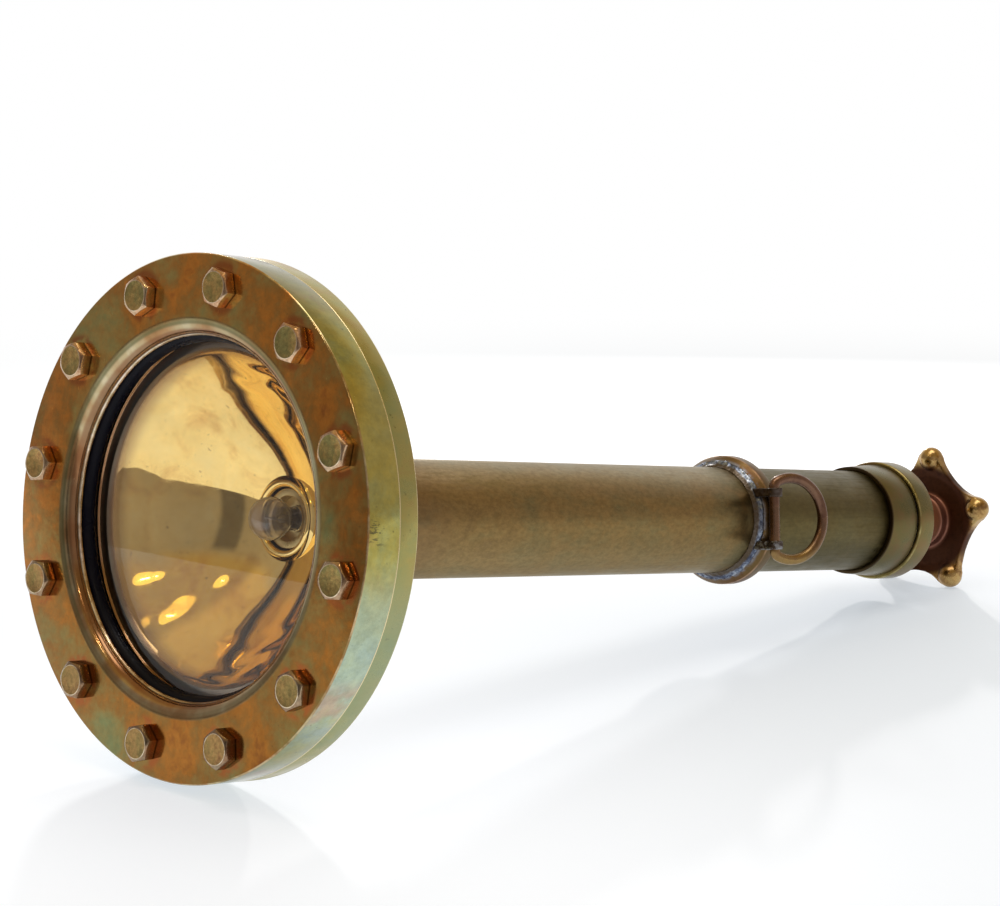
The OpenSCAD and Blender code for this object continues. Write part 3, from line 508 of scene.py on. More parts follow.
def bolts_finish():
    recipe = Recipe(bpy.data.materials.new("bolt_brass"))
    place = recipe.bench()
    x, y, _ = recipe.parts(place)
    reach, turn, z = from_axis(recipe, place)
    middle = from_bolt(recipe, reach, turn)
    green_side = recipe.step(x * 0.010 + y * 0.006, -0.5, 0.8, 0.06, -0.12)
    top, _ = tarnished(
        recipe, place, 13.0,
        (0.32, (0.25, 0.22, 0.08, 1.0)), (0.46, (0.39, 0.275, 0.095, 1.0)),
        (0.60, (0.53, 0.32, 0.115, 1.0)), (0.74, (0.36, 0.165, 0.065, 1.0)), lean=green_side)
    side, _ = tarnished(
        recipe, place, 9.0, (0.35, (0.50, 0.40, 0.26, 1.0)), (0.52, (0.52, 0.34, 0.21, 1.0)),
        (0.70, (0.34, 0.17, 0.08, 1.0)))
    colour = recipe.blend(recipe.step(middle, 5.25, 5.05) * recipe.step(z, -4.1, -4.2), side, top)
    # Painted light: besides random mottle, the bolts are darker towards the bottom and lighter towards the top.
    colour = recipe.scaled(colour, recipe.step(x, -70.0, 80.0, 0.62, 1.20)
                           * recipe.step(recipe.cloud(place, 1.4, 5.0, 0.7), 0.25, 0.75, 0.75, 1.30))
    # Brighter along the top edge of each head: partly worn brass, partly painted highlight.
    edge = recipe.step(abs(middle - 5.28), 0.22, 0.05) * recipe.step(z, -4.1, -4.2)
    worn = recipe.step(recipe.cloud(place, 3.0, 3.0, 0.6), 0.34, 0.62)
    colour = recipe.blend(edge * (0.2 + 0.6 * worn), colour, (0.88, 0.76, 0.56, 1.0))
    # Painted shade: dark at the foot of each head, where it sits on the ring.
    colour = recipe.blend(recipe.step(z, -0.7, -0.1) * 0.8, colour, (0.06, 0.025, 0.012, 1.0))
    rough = recipe.step(recipe.cloud(place, 4.0, 3.0), 0.3, 0.7, 0.14, 0.30)
    dents = recipe.relief(recipe.cloud(place, 2.6, 3.0, 0.55), 0.05)
    grain = recipe.relief(recipe.cloud(place, 0.35, 2.0), 0.006, dents)
    return recipe.surface(Base_Color=colour, Metallic=1.0, Roughness=rough, Normal=grain)


bolts = bmesh.new()
for number in range(bolt_count):
    bolt = bmesh.new()
    at = bolt_phase + number * 360 / bolt_count
    under = bolt_head(bolt, 12.0, -4.3, 5.28, 0.0, 0.9, bolt_turns[number])
    for radius, level in ((3.0, 0.0), (3.0, 20.6), (2.5, 21.0)):
        grown = bmesh.ops.extrude_edge_only(bolt, edges=under)["geom"]
        for item in grown:
            if isinstance(item, bmesh.types.BMVert):
                flat = Vector((item.co.x, item.co.y, 0)).normalized() * radius
                item.co = Vector((flat.x, flat.y, level))
        under = [item for item in grown if isinstance(item, bmesh.types.BMEdge)]
    bmesh.ops.edgeloop_fill(bolt, edges=under)
    bmesh.ops.recalc_face_normals(bolt, faces=bolt.faces[:])
    eased(bolt, 0.14, 2, 17)
    place_x = bolt_circle * math.cos(math.radians(at))
    place_y = bolt_circle * math.sin(math.radians(at))
    bmesh.ops.translate(bolt, verts=bolt.verts[:], vec=(place_x, place_y, 0))
    loose = bpy.data.meshes.new("one_bolt")
    bolt.to_mesh(loose)
    bolt.free()
    bolts.from_mesh(loose)
    bpy.data.meshes.remove(loose)
bolt_brass = bolts_finish()
fitted(bolts, "hexagon_bolts", "torch", "bolt_brass", bolt_brass, "head_bolts", crease=24)


# The window's seals: a black rubber ring squeezed out between the clamp ring and the glass, and a
# thin brown fibre ring behind the glass.

def rubber_finish():
    recipe = Recipe(bpy.data.materials.new("black_rubber"))
    place = recipe.bench()
    dusty = recipe.cloud(place, 6.0, 4.0, 0.6)
    colour = recipe.blend(recipe.step(dusty, 0.45, 0.75, 0.0, 0.5),
                          (0.002, 0.002, 0.007, 1.0), (0.009, 0.008, 0.012, 1.0))
    grain = recipe.relief(recipe.cloud(place, 0.6, 3.0), 0.03)
    return recipe.surface(Base_Color=colour, Specular_IOR_Level=0.12,
                          Roughness=recipe.step(dusty, 0.3, 0.7, 0.24, 0.45), Normal=grain)


def fibre_finish():
    recipe = Recipe(bpy.data.materials.new("brown_fibre"))
    place = recipe.bench()
    fleck = recipe.cloud(recipe.stretched(place, 1.0, 0.3, 1.0), 0.5, 4.0, 0.7)
    colour = recipe.bands(fleck, (0.35, (0.10, 0.055, 0.03, 1.0)), (0.62, (0.24, 0.15, 0.09, 1.0)))
    return recipe.surface(Base_Color=colour, Roughness=0.7, Normal=recipe.relief(fleck, 0.04))


rubber = rubber_finish()
fitted(turned([(68.0, 6.3), (68.0, 9.8), (60.5, 9.8), (60.35, 9.5), (60.5, 8.6), (60.9, 7.6), (61.5, 6.8),
               (62.3, 6.3)], 192), "window_rubber", "torch", "rubber", rubber, "front_gasket", crease=60)
fitted(turned([(68.0, 15.8), (68.0, 16.6), (64.0, 16.6), (64.0, 15.8)], 160),
       "fibre_ring", "torch", "fibre", fibre_finish(), "back_gasket")


# The window: a flat disc of clear glass, held between its two seals.

def coat(node, finish):
    """Gives a CAD solid whose shape is right its finish."""
    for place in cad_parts[node].material_slots:
        place.material = finish


def glass_finish(name, tint, rough, shine, clear=1.0):
    recipe = Recipe(bpy.data.materials.new(name))
    place = recipe.bench()
    film = recipe.step(recipe.cloud(place, 12.0, 4.0, 0.6), 0.55, 0.8, rough, rough + 0.03)
    return recipe.surface(Base_Color=tint, Roughness=film, IOR=1.5, Transmission_Weight=clear,
                          Specular_Tint=shine)


coat("window", glass_finish("window_glass", (0.985, 0.99, 0.985, 1.0), 0.0, (0.35, 0.33, 0.30, 1.0)))


# The reflector: thin brass sheet spun to a deep dish, gilded and polished inside, with a rolled
# collar round the lamp. The sheet rippled a little where it was spun near the rim.

def gold_finish():
    recipe = Recipe(bpy.data.materials.new("reflector_gold"))
    place = recipe.bench()
    _, y, _ = recipe.parts(place)
    reach, turn, z = from_axis(recipe, place)
    stain = recipe.cloud(place, 18.0, 5.0, 0.62, 0.5)
    colour = recipe.bands(stain, (0.30, (1.0, 0.75, 0.31, 1.0)), (0.52, (0.97, 0.68, 0.24, 1.0)),
                          (0.70, (0.78, 0.46, 0.15, 1.0)))
    colour = recipe.scaled(colour, recipe.step(recipe.cloud(place, 9.0, 5.0, 0.65), 0.3, 0.7, 0.95, 1.03))
    spots = recipe.step(recipe.cloud(place, 2.2, 3.0, 0.55), 0.64, 0.76, 0.0, 0.55)
    colour = recipe.blend(spots, colour, (0.42, 0.25, 0.10, 1.0))
    hem = recipe.step(reach, 61.4, 62.0)
    colour = recipe.blend(hem * 0.9, colour, (0.40, 0.21, 0.12, 1.0))
    # Painted reflection: the flat rim at the opening is painted brown going to grey inwards, in place of the dark
    # rubber and room it would mirror.
    flat = recipe.step(reach, 57.2, 57.9) * recipe.step(reach, 62.5, 62.0)
    colour = recipe.blend(flat * 0.9, colour, recipe.blend(
        recipe.step(reach, 62.0, 59.0), (0.46, 0.26, 0.17, 1.0), (0.20, 0.165, 0.15, 1.0)))
    # Painted reflection: a brown band just inside the opening, in place of the dark rim it would mirror.
    painted_rim_reflection = recipe.step(reach, 53.0, 57.6) * recipe.step(reach, 58.3, 57.8)
    colour = recipe.blend(painted_rim_reflection * 0.75, colour, (0.30, 0.17, 0.09, 1.0))
    wipes = recipe.cloud(recipe.stretched(place, 1.0, 0.14, 0.4), 1.1, 2.0, 0.6)
    rough = 0.04 + recipe.step(wipes, 0.50, 0.75, 0.0, 0.06) + recipe.step(stain, 0.5, 0.8, 0.0, 0.06) \
        + flat * 0.3
    wander = recipe.cloud(place, 16.0, 1.0, 0.4)
    ridges = recipe.node("ShaderNodeMath", {"operation": "SINE"}, {0: reach * 0.72 + wander * 9.0})
    ripple = (ridges * recipe.step(y, -20.0, 20.0, 0.012, 0.080) + wander * 0.45) * recipe.step(reach, 30.0, 50.0, 0.08, 1.0)
    waves = recipe.relief(ripple, 1.0)
    return recipe.surface(Base_Color=colour, Metallic=1.0, Roughness=rough, Normal=waves)


opening, collar_foot, dish_front, dish_depth, sheet = 57.6, 14.05, 16.6, 33.4, 1.0
curve = (opening ** 2 - collar_foot ** 2) / dish_depth
flared_from, flared = 34.0, 0.00375
inner_side = []
outer_side = []
for step_number in range(41):
    r = opening + (collar_foot - opening) * step_number / 40
    flare = max(0.0, r - flared_from)
    z = dish_front + (opening ** 2 - r * r) / curve + flared * flare ** 2
    steep = 2 * r / curve - 2 * flared * flare
    length = math.hypot(steep, 1)
    inner_side.append((r, z))
    outer_side.append((r + sheet * steep / length, z + sheet / length))
dish = turned([(68.0, 17.6), (68.0, 16.6), (64.1, 16.6)] + arc(63.2, 16.7, 0.72, 350, 190, 10)
              + [(62.3, 16.8), (58.5, 16.8)] + inner_side[:-1]
              + arc(12.65, 49.4, 1.4, -20, -325, 16) + outer_side[-2:0:-1] + [(58.8, 17.6)], 256)
reflector_gold = gold_finish()
fitted(dish, "gilded_dish", "torch", "reflector_gold", reflector_gold, "reflector", crease=40)


# The lamp: a small round bulb of thin clear glass on a glass stem, with two posts and a filament,
# screwed by its brass cap into the holder behind the reflector.

def plain_finish(name, dark, light, metallic, rough, size=6.0, grain_depth=0.01):
    """A plain surface with soft clouds between two near colours and a fine grain."""
    recipe = Recipe(bpy.data.materials.new(name))
    place = recipe.bench()
    shade = recipe.cloud(place, size, 4.0, 0.6)
    colour = recipe.bands(shade, (0.34, dark), (0.66, light))
    worn = recipe.step(shade, 0.3, 0.7, rough - 0.06, rough + 0.08)
    grain = recipe.relief(recipe.cloud(place, 0.4, 2.0), grain_depth)
    return recipe.surface(Base_Color=colour, Metallic=metallic, Roughness=worn, Normal=grain)


bulb_clear = glass_finish("bulb_clear", (1.0, 0.94, 0.91, 1.0), 0.0, (1.0, 1.0, 1.0, 1.0), 0.86)
outer_wall = arc(0, 42.4, 7.7, -90, 56.9, 26)
inner_wall = arc(0, 42.4, 7.2, -90, 59.1, 26)
bulb = turned([(0, 34.7)] + outer_wall[1:] + [(4.2, 50.0), (4.2, 58.0), (3.7, 58.0), (3.7, 50.0)]
              + inner_wall[:0:-1] + [(0, 35.2)], 64, closed=False)
fitted(bulb, "bulb", "torch", "bulb_glass", bulb_clear, "bulb_glass", crease=60)
stem = turned([(0, 46.25), (0.8, 46.3), (1.5, 46.8), (1.5, 54.4), (2.2, 55.6), (3.6, 56.9), (3.6, 58.0),
               (0, 58.0)], 40, closed=False)
fitted(stem, "bulb_stem_glass", "torch", "bulb_glass", bulb_clear, "bulb_stem", crease=60)
coat("bulb_filament", plain_finish("filament_wire", (0.25, 0.25, 0.27, 1.0), (0.45, 0.45, 0.47, 1.0), 1.0, 0.35))
cap_brass = plain_finish("cap_brass", (0.62, 0.46, 0.20, 1.0), (0.80, 0.62, 0.30, 1.0), 1.0, 0.30)
threaded = [(4.75, 53.5)]
for groove in range(5):
    threaded += [(4.75, 54.6 + groove * 1.5), (4.5, 55.0 + groove * 1.5), (4.75, 55.4 + groove * 1.5)]
fitted(turned(threaded + [(4.75, 62.5), (4.35, 62.5), (4.35, 53.5)], 64), "bulb_screw_cap",
       "torch", "cap_brass", cap_brass, "bulb_cap", crease=50)
coat("bulb_insulator", plain_finish("black_glass", (0.01, 0.01, 0.012, 1.0), (0.03, 0.03, 0.03, 1.0), 0.0, 0.14))
solder_dull = plain_finish("tip_solder", (0.45, 0.46, 0.48, 1.0), (0.66, 0.67, 0.70, 1.0), 1.0, 0.42, 2.0, 0.05)
coat("bulb_tip", solder_dull)


# The lamp holder: a brass sleeve on a plate across the neck, a screwed socket inside it, and an
# insulating block with the sprung pin that brings the current from the cells.

inner_brass = plain_finish("inner_brass", (0.50, 0.36, 0.15, 1.0), (0.70, 0.53, 0.25, 1.0), 1.0, 0.32, 9.0)
fitted(eased(turned([(10.75, 50.5), (10.75, 73.5), (8.0, 73.5), (8.0, 50.5)], 96), 0.35, 3),
       "lamp_sleeve", "torch", "inner_brass", inner_brass, "holder_sleeve")
shell = [(4.85, 55.0)]
for groove in range(6):
    shell += [(4.85, 56.0 + groove * 1.6), (5.1, 56.4 + groove * 1.6), (4.85, 56.8 + groove * 1.6)]
fitted(turned(shell + [(4.85, 66.0), (8.0, 66.0), (8.0, 55.0)], 64), "lamp_screw_shell",
       "torch", "inner_brass", inner_brass, "lamp_socket", crease=50)
coat("holder_plate", inner_brass)
coat("contact_pin", inner_brass)
coat("contact_block", plain_finish("ebonite", (0.035, 0.02, 0.014, 1.0), (0.06, 0.035, 0.025, 1.0), 0.0, 0.38))
spring_steel = plain_finish("spring_steel", (0.42, 0.42, 0.43, 1.0), (0.60, 0.60, 0.61, 1.0), 1.0, 0.30, 4.0)
coat("contact_spring", spring_steel)


# The rear flange and the lamp housing: a turned brass ring bolted behind the window, and a cone of
# brass set into its back and drawn down to the neck that the tube is soldered into.

def flange_finish():
    recipe = Recipe(bpy.data.materials.new("flange_brass"))
    place = recipe.bench()
    x, y, _ = recipe.parts(place)
    reach, turn, z = from_axis(recipe, place)
    colour, shade = tarnished(
        recipe, place, 58.0,
        (0.32, (0.24, 0.30, 0.17, 1.0)), (0.45, (0.32, 0.32, 0.125, 1.0)),
        (0.58, (0.40, 0.335, 0.11, 1.0)), (0.72, (0.40, 0.25, 0.11, 1.0)), lean=x * 0.0010)
    colour = recipe.blend(recipe.step(x, 0.0, -25.0) * recipe.step(x, -75.0, -45.0) * 0.40, colour, (0.33, 0.42, 0.30, 1.0))
    cone_clouds, _ = tarnished(
        recipe, place, 34.0,
        (0.32, (0.26, 0.24, 0.10, 1.0)), (0.50, (0.36, 0.25, 0.11, 1.0)), (0.70, (0.26, 0.13, 0.055, 1.0)))
    colour = recipe.blend(recipe.step(z, 22.2, 22.6), colour, cone_clouds)
    worn = recipe.step(recipe.cloud(place, 9.0, 4.0, 0.65), 0.36, 0.62)
    # Brighter brass on the rear outer edge, partly worn bare and partly painted highlight, and a painted highlight line
    # along the seam with the clamp ring.
    seam = recipe.step(z, 14.35, 14.1) * recipe.step(reach, 89.0, 89.6)
    rim = recipe.step(abs(z - 22.2) + abs(reach - 89.8), 0.8, 0.3)
    colour = recipe.blend((rim * (0.3 + 0.6 * worn)).high(seam * 0.9), colour, (0.95, 0.80, 0.50, 1.0))
    # Darker and rougher in a band round the foot of the lamp housing, where it meets the back of the flange.
    cone_foot_darkening = recipe.step(abs(reach - 63.8), 1.4, 0.2) * recipe.step(z, 21.8, 22.3)
    colour = recipe.blend(cone_foot_darkening * 0.6, colour, (0.05, 0.035, 0.02, 1.0))
    rough = recipe.step(recipe.cloud(place, 17.0, 4.0, 0.6), 0.30, 0.72, 0.20, 0.40) + cone_foot_darkening * 0.25
    dents = recipe.relief(recipe.cloud(place, 6.0, 3.0), 0.04)
    lathe = recipe.relief(recipe.cloud(recipe.stretched(place, 0.04, 0.04, 1.0), 0.5, 2.0), 0.006, dents)
    return recipe.surface(Base_Color=colour, Metallic=1.0, Roughness=rough, Normal=lathe)


flange_brass = flange_finish()
flange = turned([(89.9, 14.0), (90, 14.1), (90, 22.0), (89.6, 22.4), (63.5, 22.4), (63.5, 20.8),
                 (60.5, 20.8), (60.5, 17.6), (68.3, 17.6), (68.3, 14.0)], 256)
fitted(eased(flange, 0.12, 2, 40), "rear_ring", "torch", "flange_brass", flange_brass, "rear_flange")
housing = turned(
    [(63.5, 20.8), (63.5, 22.5), (63.2, 23.1), (61.4, 25.2)] + arc(32.3, 74.2, 7.3, 219, 180, 8)
    + [(25, 85.4), (24.6, 86), (22.2, 86), (22.2, 72), (19.2, 72), (19.2, 70), (59.7, 22.4),
       (59.7, 20.8)], 192)
fitted(eased(housing, 0.3, 3, 40), "lamp_housing", "torch", "flange_brass", flange_brass, "head_cone",
       crease=30)


# The battery tube: drawn brass tube with a satin brown skin, five round cells in a board liner
# inside it.

def tube_finish():
    recipe = Recipe(bpy.data.materials.new("tube_brass"))
    place = recipe.bench()
    x, y, z = recipe.parts(place)
    along = recipe.stretched(place, 1.0, 1.0, 0.6)
    colour, shade = tarnished(
        recipe, along, 15.0,
        (0.30, (0.180, 0.142, 0.062, 1.0)), (0.43, (0.218, 0.154, 0.062, 1.0)),
        (0.57, (0.256, 0.163, 0.060, 1.0)), (0.70, (0.195, 0.126, 0.052, 1.0)))
    # Painted highlight: paler along the top of the tube.
    colour = recipe.blend(recipe.step(x, 9.0, 21.0) * 0.6, colour, (0.40, 0.35, 0.26, 1.0))
    # Painted reflection of the floor: paler towards the bottom of the tube.
    painted_floor_light = recipe.step(x, 2.0, -16.0, 0.0, 0.40)
    colour = recipe.blend(painted_floor_light, colour, (0.33, 0.25, 0.125, 1.0))
    near_band = recipe.step(z, 262.0, 288.0) * recipe.step(recipe.cloud(place, 10.0, 3.0), 0.3, 0.6)
    colour = recipe.blend(near_band * 0.6, colour, (0.15, 0.14, 0.07, 1.0))
    behind = recipe.step(z, 299.0, 302.0)
    colour = recipe.blend(behind * 0.85, colour, recipe.blend(
        recipe.step(x, 5.0, -12.0), (0.095, 0.072, 0.022, 1.0), (0.105, 0.084, 0.030, 1.0)))
    colour = recipe.scaled(colour, recipe.step(recipe.cloud(along, 1.6, 4.0, 0.7), 0.25, 0.75, 0.84, 1.18))
    near_head = recipe.step(z, 118.0, 90.0)
    colour = recipe.blend(near_head * 0.35, colour, (0.19, 0.11, 0.06, 1.0))
    rub = recipe.cloud(recipe.stretched(place, 1.0, 1.0, 0.05), 0.9, 3.0, 0.6)
    rough = recipe.step(shade, 0.3, 0.7, 0.30, 0.42) + recipe.step(rub, 0.4, 0.7, -0.03, 0.05)
    dents = recipe.relief(recipe.cloud(place, 14.0, 2.0), 0.05)
    grain = recipe.relief(rub, 0.006, dents)
    return recipe.surface(Base_Color=colour, Metallic=1.0, Roughness=rough, Normal=grain,
                          Specular_Tint=(0.78, 0.76, 0.71, 1.0))


tube_brass = tube_finish()
fitted(eased(turned([(22.2, 73.5), (22.2, 397.5), (19.2, 397.5), (19.2, 73.5)], 160), 0.25, 2),
       "long_tube", "torch", "tube_brass", tube_brass, "battery_tube")
coat("tube_liner", plain_finish("liner_board", (0.42, 0.31, 0.19, 1.0), (0.60, 0.48, 0.32, 1.0), 0.0, 0.8, 5.0, 0.05))
coat("cell_cans", plain_finish("zinc", (0.48, 0.49, 0.52, 1.0), (0.64, 0.65, 0.68, 1.0), 1.0, 0.45, 8.0))
coat("cell_jackets", plain_finish("cell_paper", (0.26, 0.05, 0.04, 1.0), (0.36, 0.08, 0.06, 1.0), 0.0, 0.6, 12.0))
coat("cell_seals", plain_finish("cell_pitch", (0.012, 0.012, 0.012, 1.0), (0.03, 0.03, 0.03, 1.0), 0.0, 0.5))
coat("cell_caps", cap_brass)


# The band and the solder: a turned band slipped over the tube and run round with soft solder,
# which lies as a lumpy silver fillet in front and in blobs round the eyes of the D-ring.

def band_finish():
    recipe = Recipe(bpy.data.materials.new("band_brass"))
    place = recipe.bench()
    reach, turn, z = from_axis(recipe, place)
    colour, shade = tarnished(
        recipe, place, 15.0,
        (0.32, (0.12, 0.085, 0.038, 1.0)), (0.50, (0.17, 0.105, 0.042, 1.0)), (0.70, (0.13, 0.065, 0.03, 1.0)))
    worn = recipe.step(recipe.cloud(place, 5.0, 4.0, 0.6), 0.36, 0.62)
    # Brighter along the band's crest: partly worn brass, partly painted highlight.
    ridge = recipe.step(abs(reach - 27.1) + abs(z - 294.9), 0.8, 0.2)
    colour = recipe.blend(ridge * (0.2 + 0.5 * worn), colour, (0.52, 0.32, 0.20, 1.0))
    tin = recipe.step(z, 293.4, 291.9) * recipe.step(recipe.cloud(place, 2.6, 4.0, 0.6), 0.40, 0.56)
    colour = recipe.blend(tin * 0.8, colour, (0.24, 0.27, 0.33, 1.0))
    rough = recipe.step(shade, 0.3, 0.7, 0.30, 0.44)
    dents = recipe.relief(recipe.cloud(place, 3.0, 3.0), 0.08)
    return recipe.surface(Base_Color=colour, Metallic=1.0, Roughness=rough, Normal=dents)


def solder_finish():
    recipe = Recipe(bpy.data.materials.new("soft_solder"))
    place = recipe.bench()
    reach, turn, z = from_axis(recipe, place)
    spots = recipe.cloud(recipe.stretched(place, 0.45, 0.45, 1.0), 0.8, 4.0, 0.62)
    broad = recipe.cloud(place, 12.0, 2.0)
    colour = recipe.bands(spots * 0.55 + broad * 0.45, (0.38, (0.05, 0.055, 0.08, 1.0)), (0.48, (0.11, 0.13, 0.19, 1.0)),
                          (0.56, (0.26, 0.30, 0.37, 1.0)), (0.64, (0.50, 0.53, 0.58, 1.0)))
    brown = recipe.step(z, 290.9, 289.9).high(recipe.step(z, 291.5, 291.9) * 0.7)
    colour = recipe.blend(brown * 0.9, colour, (0.10, 0.07, 0.04, 1.0))
    rough = recipe.step(spots, 0.3, 0.7, 0.46, 0.24)
    lumps = recipe.relief(recipe.cloud(place, 1.1, 3.0, 0.6), 0.12)
    return recipe.surface(Base_Color=colour, Metallic=1.0, Roughness=rough, Normal=lumps)


def eyes_finish():
    recipe = Recipe(bpy.data.materials.new("eye_bronze"))
    place = recipe.bench()
    x, _, _ = recipe.parts(place)
    colour, shade = tarnished(
        recipe, place, 8.0,
        (0.32, (0.055, 0.047, 0.042, 1.0)), (0.50, (0.085, 0.062, 0.048, 1.0)), (0.70, (0.05, 0.03, 0.025, 1.0)))
    tin = recipe.step(x, 0.0, -9.0, 0.04, 0.55) * recipe.step(recipe.cloud(place, 2.2, 4.0, 0.6), 0.42, 0.58)
    colour = recipe.blend(tin, colour, (0.50, 0.53, 0.56, 1.0))
    rough = recipe.step(shade, 0.3, 0.7, 0.26, 0.44)
    return recipe.surface(Base_Color=colour, Metallic=1.0, Roughness=rough,
                          Normal=recipe.relief(recipe.cloud(place, 1.6, 3.0, 0.6), 0.10))


def lumpy(bm, size, height):
    """Pushes a surface in and out as run solder lies. The noise is the same in every run."""
    bm.normal_update()
    for vert in bm.verts:
        vert.co += vert.normal * noise.noise(vert.co / size) * height
    return bm


def cast(node, grain, rounds):
    """A cast or soldered form from its CAD solid: a fine skin whose corners flow together."""
    bm = bmesh.new()
    bm.from_mesh(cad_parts[node].data)
    bmesh.ops.remove_doubles(bm, verts=bm.verts[:], dist=1e-6)
    bm.transform(lay.inverted())
    mesh = bpy.data.meshes.new(node + "_blank")
    bm.to_mesh(mesh)
    bm.free()
    blank = bpy.data.objects.new(node + "_blank", mesh)
    bpy.context.scene.collection.objects.link(blank)
    skin = blank.modifiers.new("skin", "REMESH")
    skin.mode = "VOXEL"
    skin.voxel_size = grain
    bpy.context.view_layer.update()
    solid = bpy.data.meshes.new_from_object(blank.evaluated_get(bpy.context.evaluated_depsgraph_get()))
    bpy.data.objects.remove(blank)
    bpy.data.meshes.remove(mesh)
    bm = bmesh.new()
    bm.from_mesh(solid)
    bpy.data.meshes.remove(solid)
    for _ in range(rounds):
        bmesh.ops.smooth_vert(bm, verts=bm.verts[:], factor=0.5, use_axis_x=True,
                              use_axis_y=True, use_axis_z=True)
    return bm


band = turned([(24.8, 291.8), (27.2, 294.7), (27.2, 300.0), (25.5, 301.5), (24.2, 302.0), (22.2, 302.0),
               (22.2, 291.8)], 160)
fitted(eased(band, 0.45, 3, 20), "tube_band", "torch", "band_brass", band_finish(), "band", crease=30)
soft_solder = solder_finish()
fillet = turned([(22.15, 288.7), (22.45, 288.7), (22.9, 289.3), (23.5, 290.1), (24.2, 290.9), (25.1, 291.7),
                 (25.0, 292.3), (22.15, 292.3)], 200)
for _ in range(1):
    bmesh.ops.subdivide_edges(fillet, edges=fillet.edges[:], cuts=1, use_grid_fill=True)
fitted(lumpy(lumpy(fillet, 2.4, 0.35), 0.9, 0.12), "solder_fillet", "torch", "solder", soft_solder,
       "band_solder", crease=60)
eyes = cast("ring_eyes", 0.24, 5)
fitted(lumpy(eyes, 1.8, 0.18), "soldered_eyes", "torch", "solder", eyes_finish(), "ring_eyes", crease=60)


# The D-ring: one length of brass wire bent to a D and soldered shut, its straight bar free to turn
# in the two eyes.

def wire_finish():
    recipe = Recipe(bpy.data.materials.new("ring_wire"))
    place = recipe.bench()
    x, y, _ = recipe.parts(place)
    colour, shade = tarnished(
        recipe, place, 11.0,
        (0.32, (0.15, 0.095, 0.060, 1.0)), (0.50, (0.20, 0.110, 0.070, 1.0)), (0.70, (0.105, 0.055, 0.042, 1.0)))
    golden = recipe.step(x, 0.0, -15.0) * recipe.step(recipe.cloud(place, 5.0, 3.0), 0.25, 0.6, 0.5, 1.0)
    colour = recipe.blend(golden * 0.8, colour, (0.36, 0.24, 0.08, 1.0))
    rough = recipe.step(shade, 0.3, 0.7, 0.22, 0.36)
    return recipe.surface(Base_Color=colour, Metallic=1.0, Roughness=rough,
                          Normal=recipe.relief(recipe.cloud(place, 2.2, 3.0), 0.06))


wire, round_r, corner, round_at = 2.2, 17.0, 2.7, 8.5
half_bar = math.sqrt((round_r - corner) ** 2 - (round_at - corner) ** 2)
corner_turn = math.asin((round_at - corner) / (round_r - corner))
ring = bmesh.new()
start = bmesh.ops.create_circle(ring, segments=32, radius=wire)["verts"]
bmesh.ops.rotate(ring, verts=start, cent=(0, 0, 0), matrix=Matrix.Rotation(math.pi / 2, 3, "Y"))
bmesh.ops.translate(ring, verts=start, vec=(-half_bar, 0, 0))
end = ring.edges[:]
for _ in range(24):
    grown = bmesh.ops.extrude_edge_only(ring, edges=end)["geom"]
    bmesh.ops.translate(ring, verts=[item for item in grown if isinstance(item, bmesh.types.BMVert)],
                        vec=(2 * half_bar / 24, 0, 0))
    end = [item for item in grown if isinstance(item, bmesh.types.BMEdge)]
    end = [edge for edge in end if edge.is_boundary]
for centre, angle, steps in (((half_bar, corner, 0), math.pi / 2 - corner_turn, 12),
                             ((0, round_at, 0), math.pi + 2 * corner_turn, 64),
                             ((-half_bar, corner, 0), math.pi / 2 - corner_turn, 12)):
    spun = bmesh.ops.spin(ring, geom=end, cent=centre, axis=(0, 0, 1), dvec=(0, 0, 0), angle=angle,
                          steps=steps)["geom_last"]
    end = [item for item in spun if isinstance(item, bmesh.types.BMEdge)]
bmesh.ops.remove_doubles(ring, verts=ring.verts[:], dist=0.02)
bmesh.ops.recalc_face_normals(ring, faces=ring.faces[:])
ring.transform(
    Matrix.Rotation(math.radians(81.7), 4, "Z") @ Matrix.Translation((29.7, 0, 293.0))
    @ Matrix.Rotation(math.radians(15), 4, "Y") @ Matrix.Rotation(math.pi / 2, 4, "Z")
    @ Matrix.Rotation(math.pi / 2, 4, "X"))
fitted(ring, "wire_ring", "ring", "ring_wire", wire_finish(), "d_ring", crease=60)


# The tail: a slightly tapered sleeve soldered over the tube, a thin black seal, and a screwed cap
# whose boss holds the packing and the gland nut round the spindle.

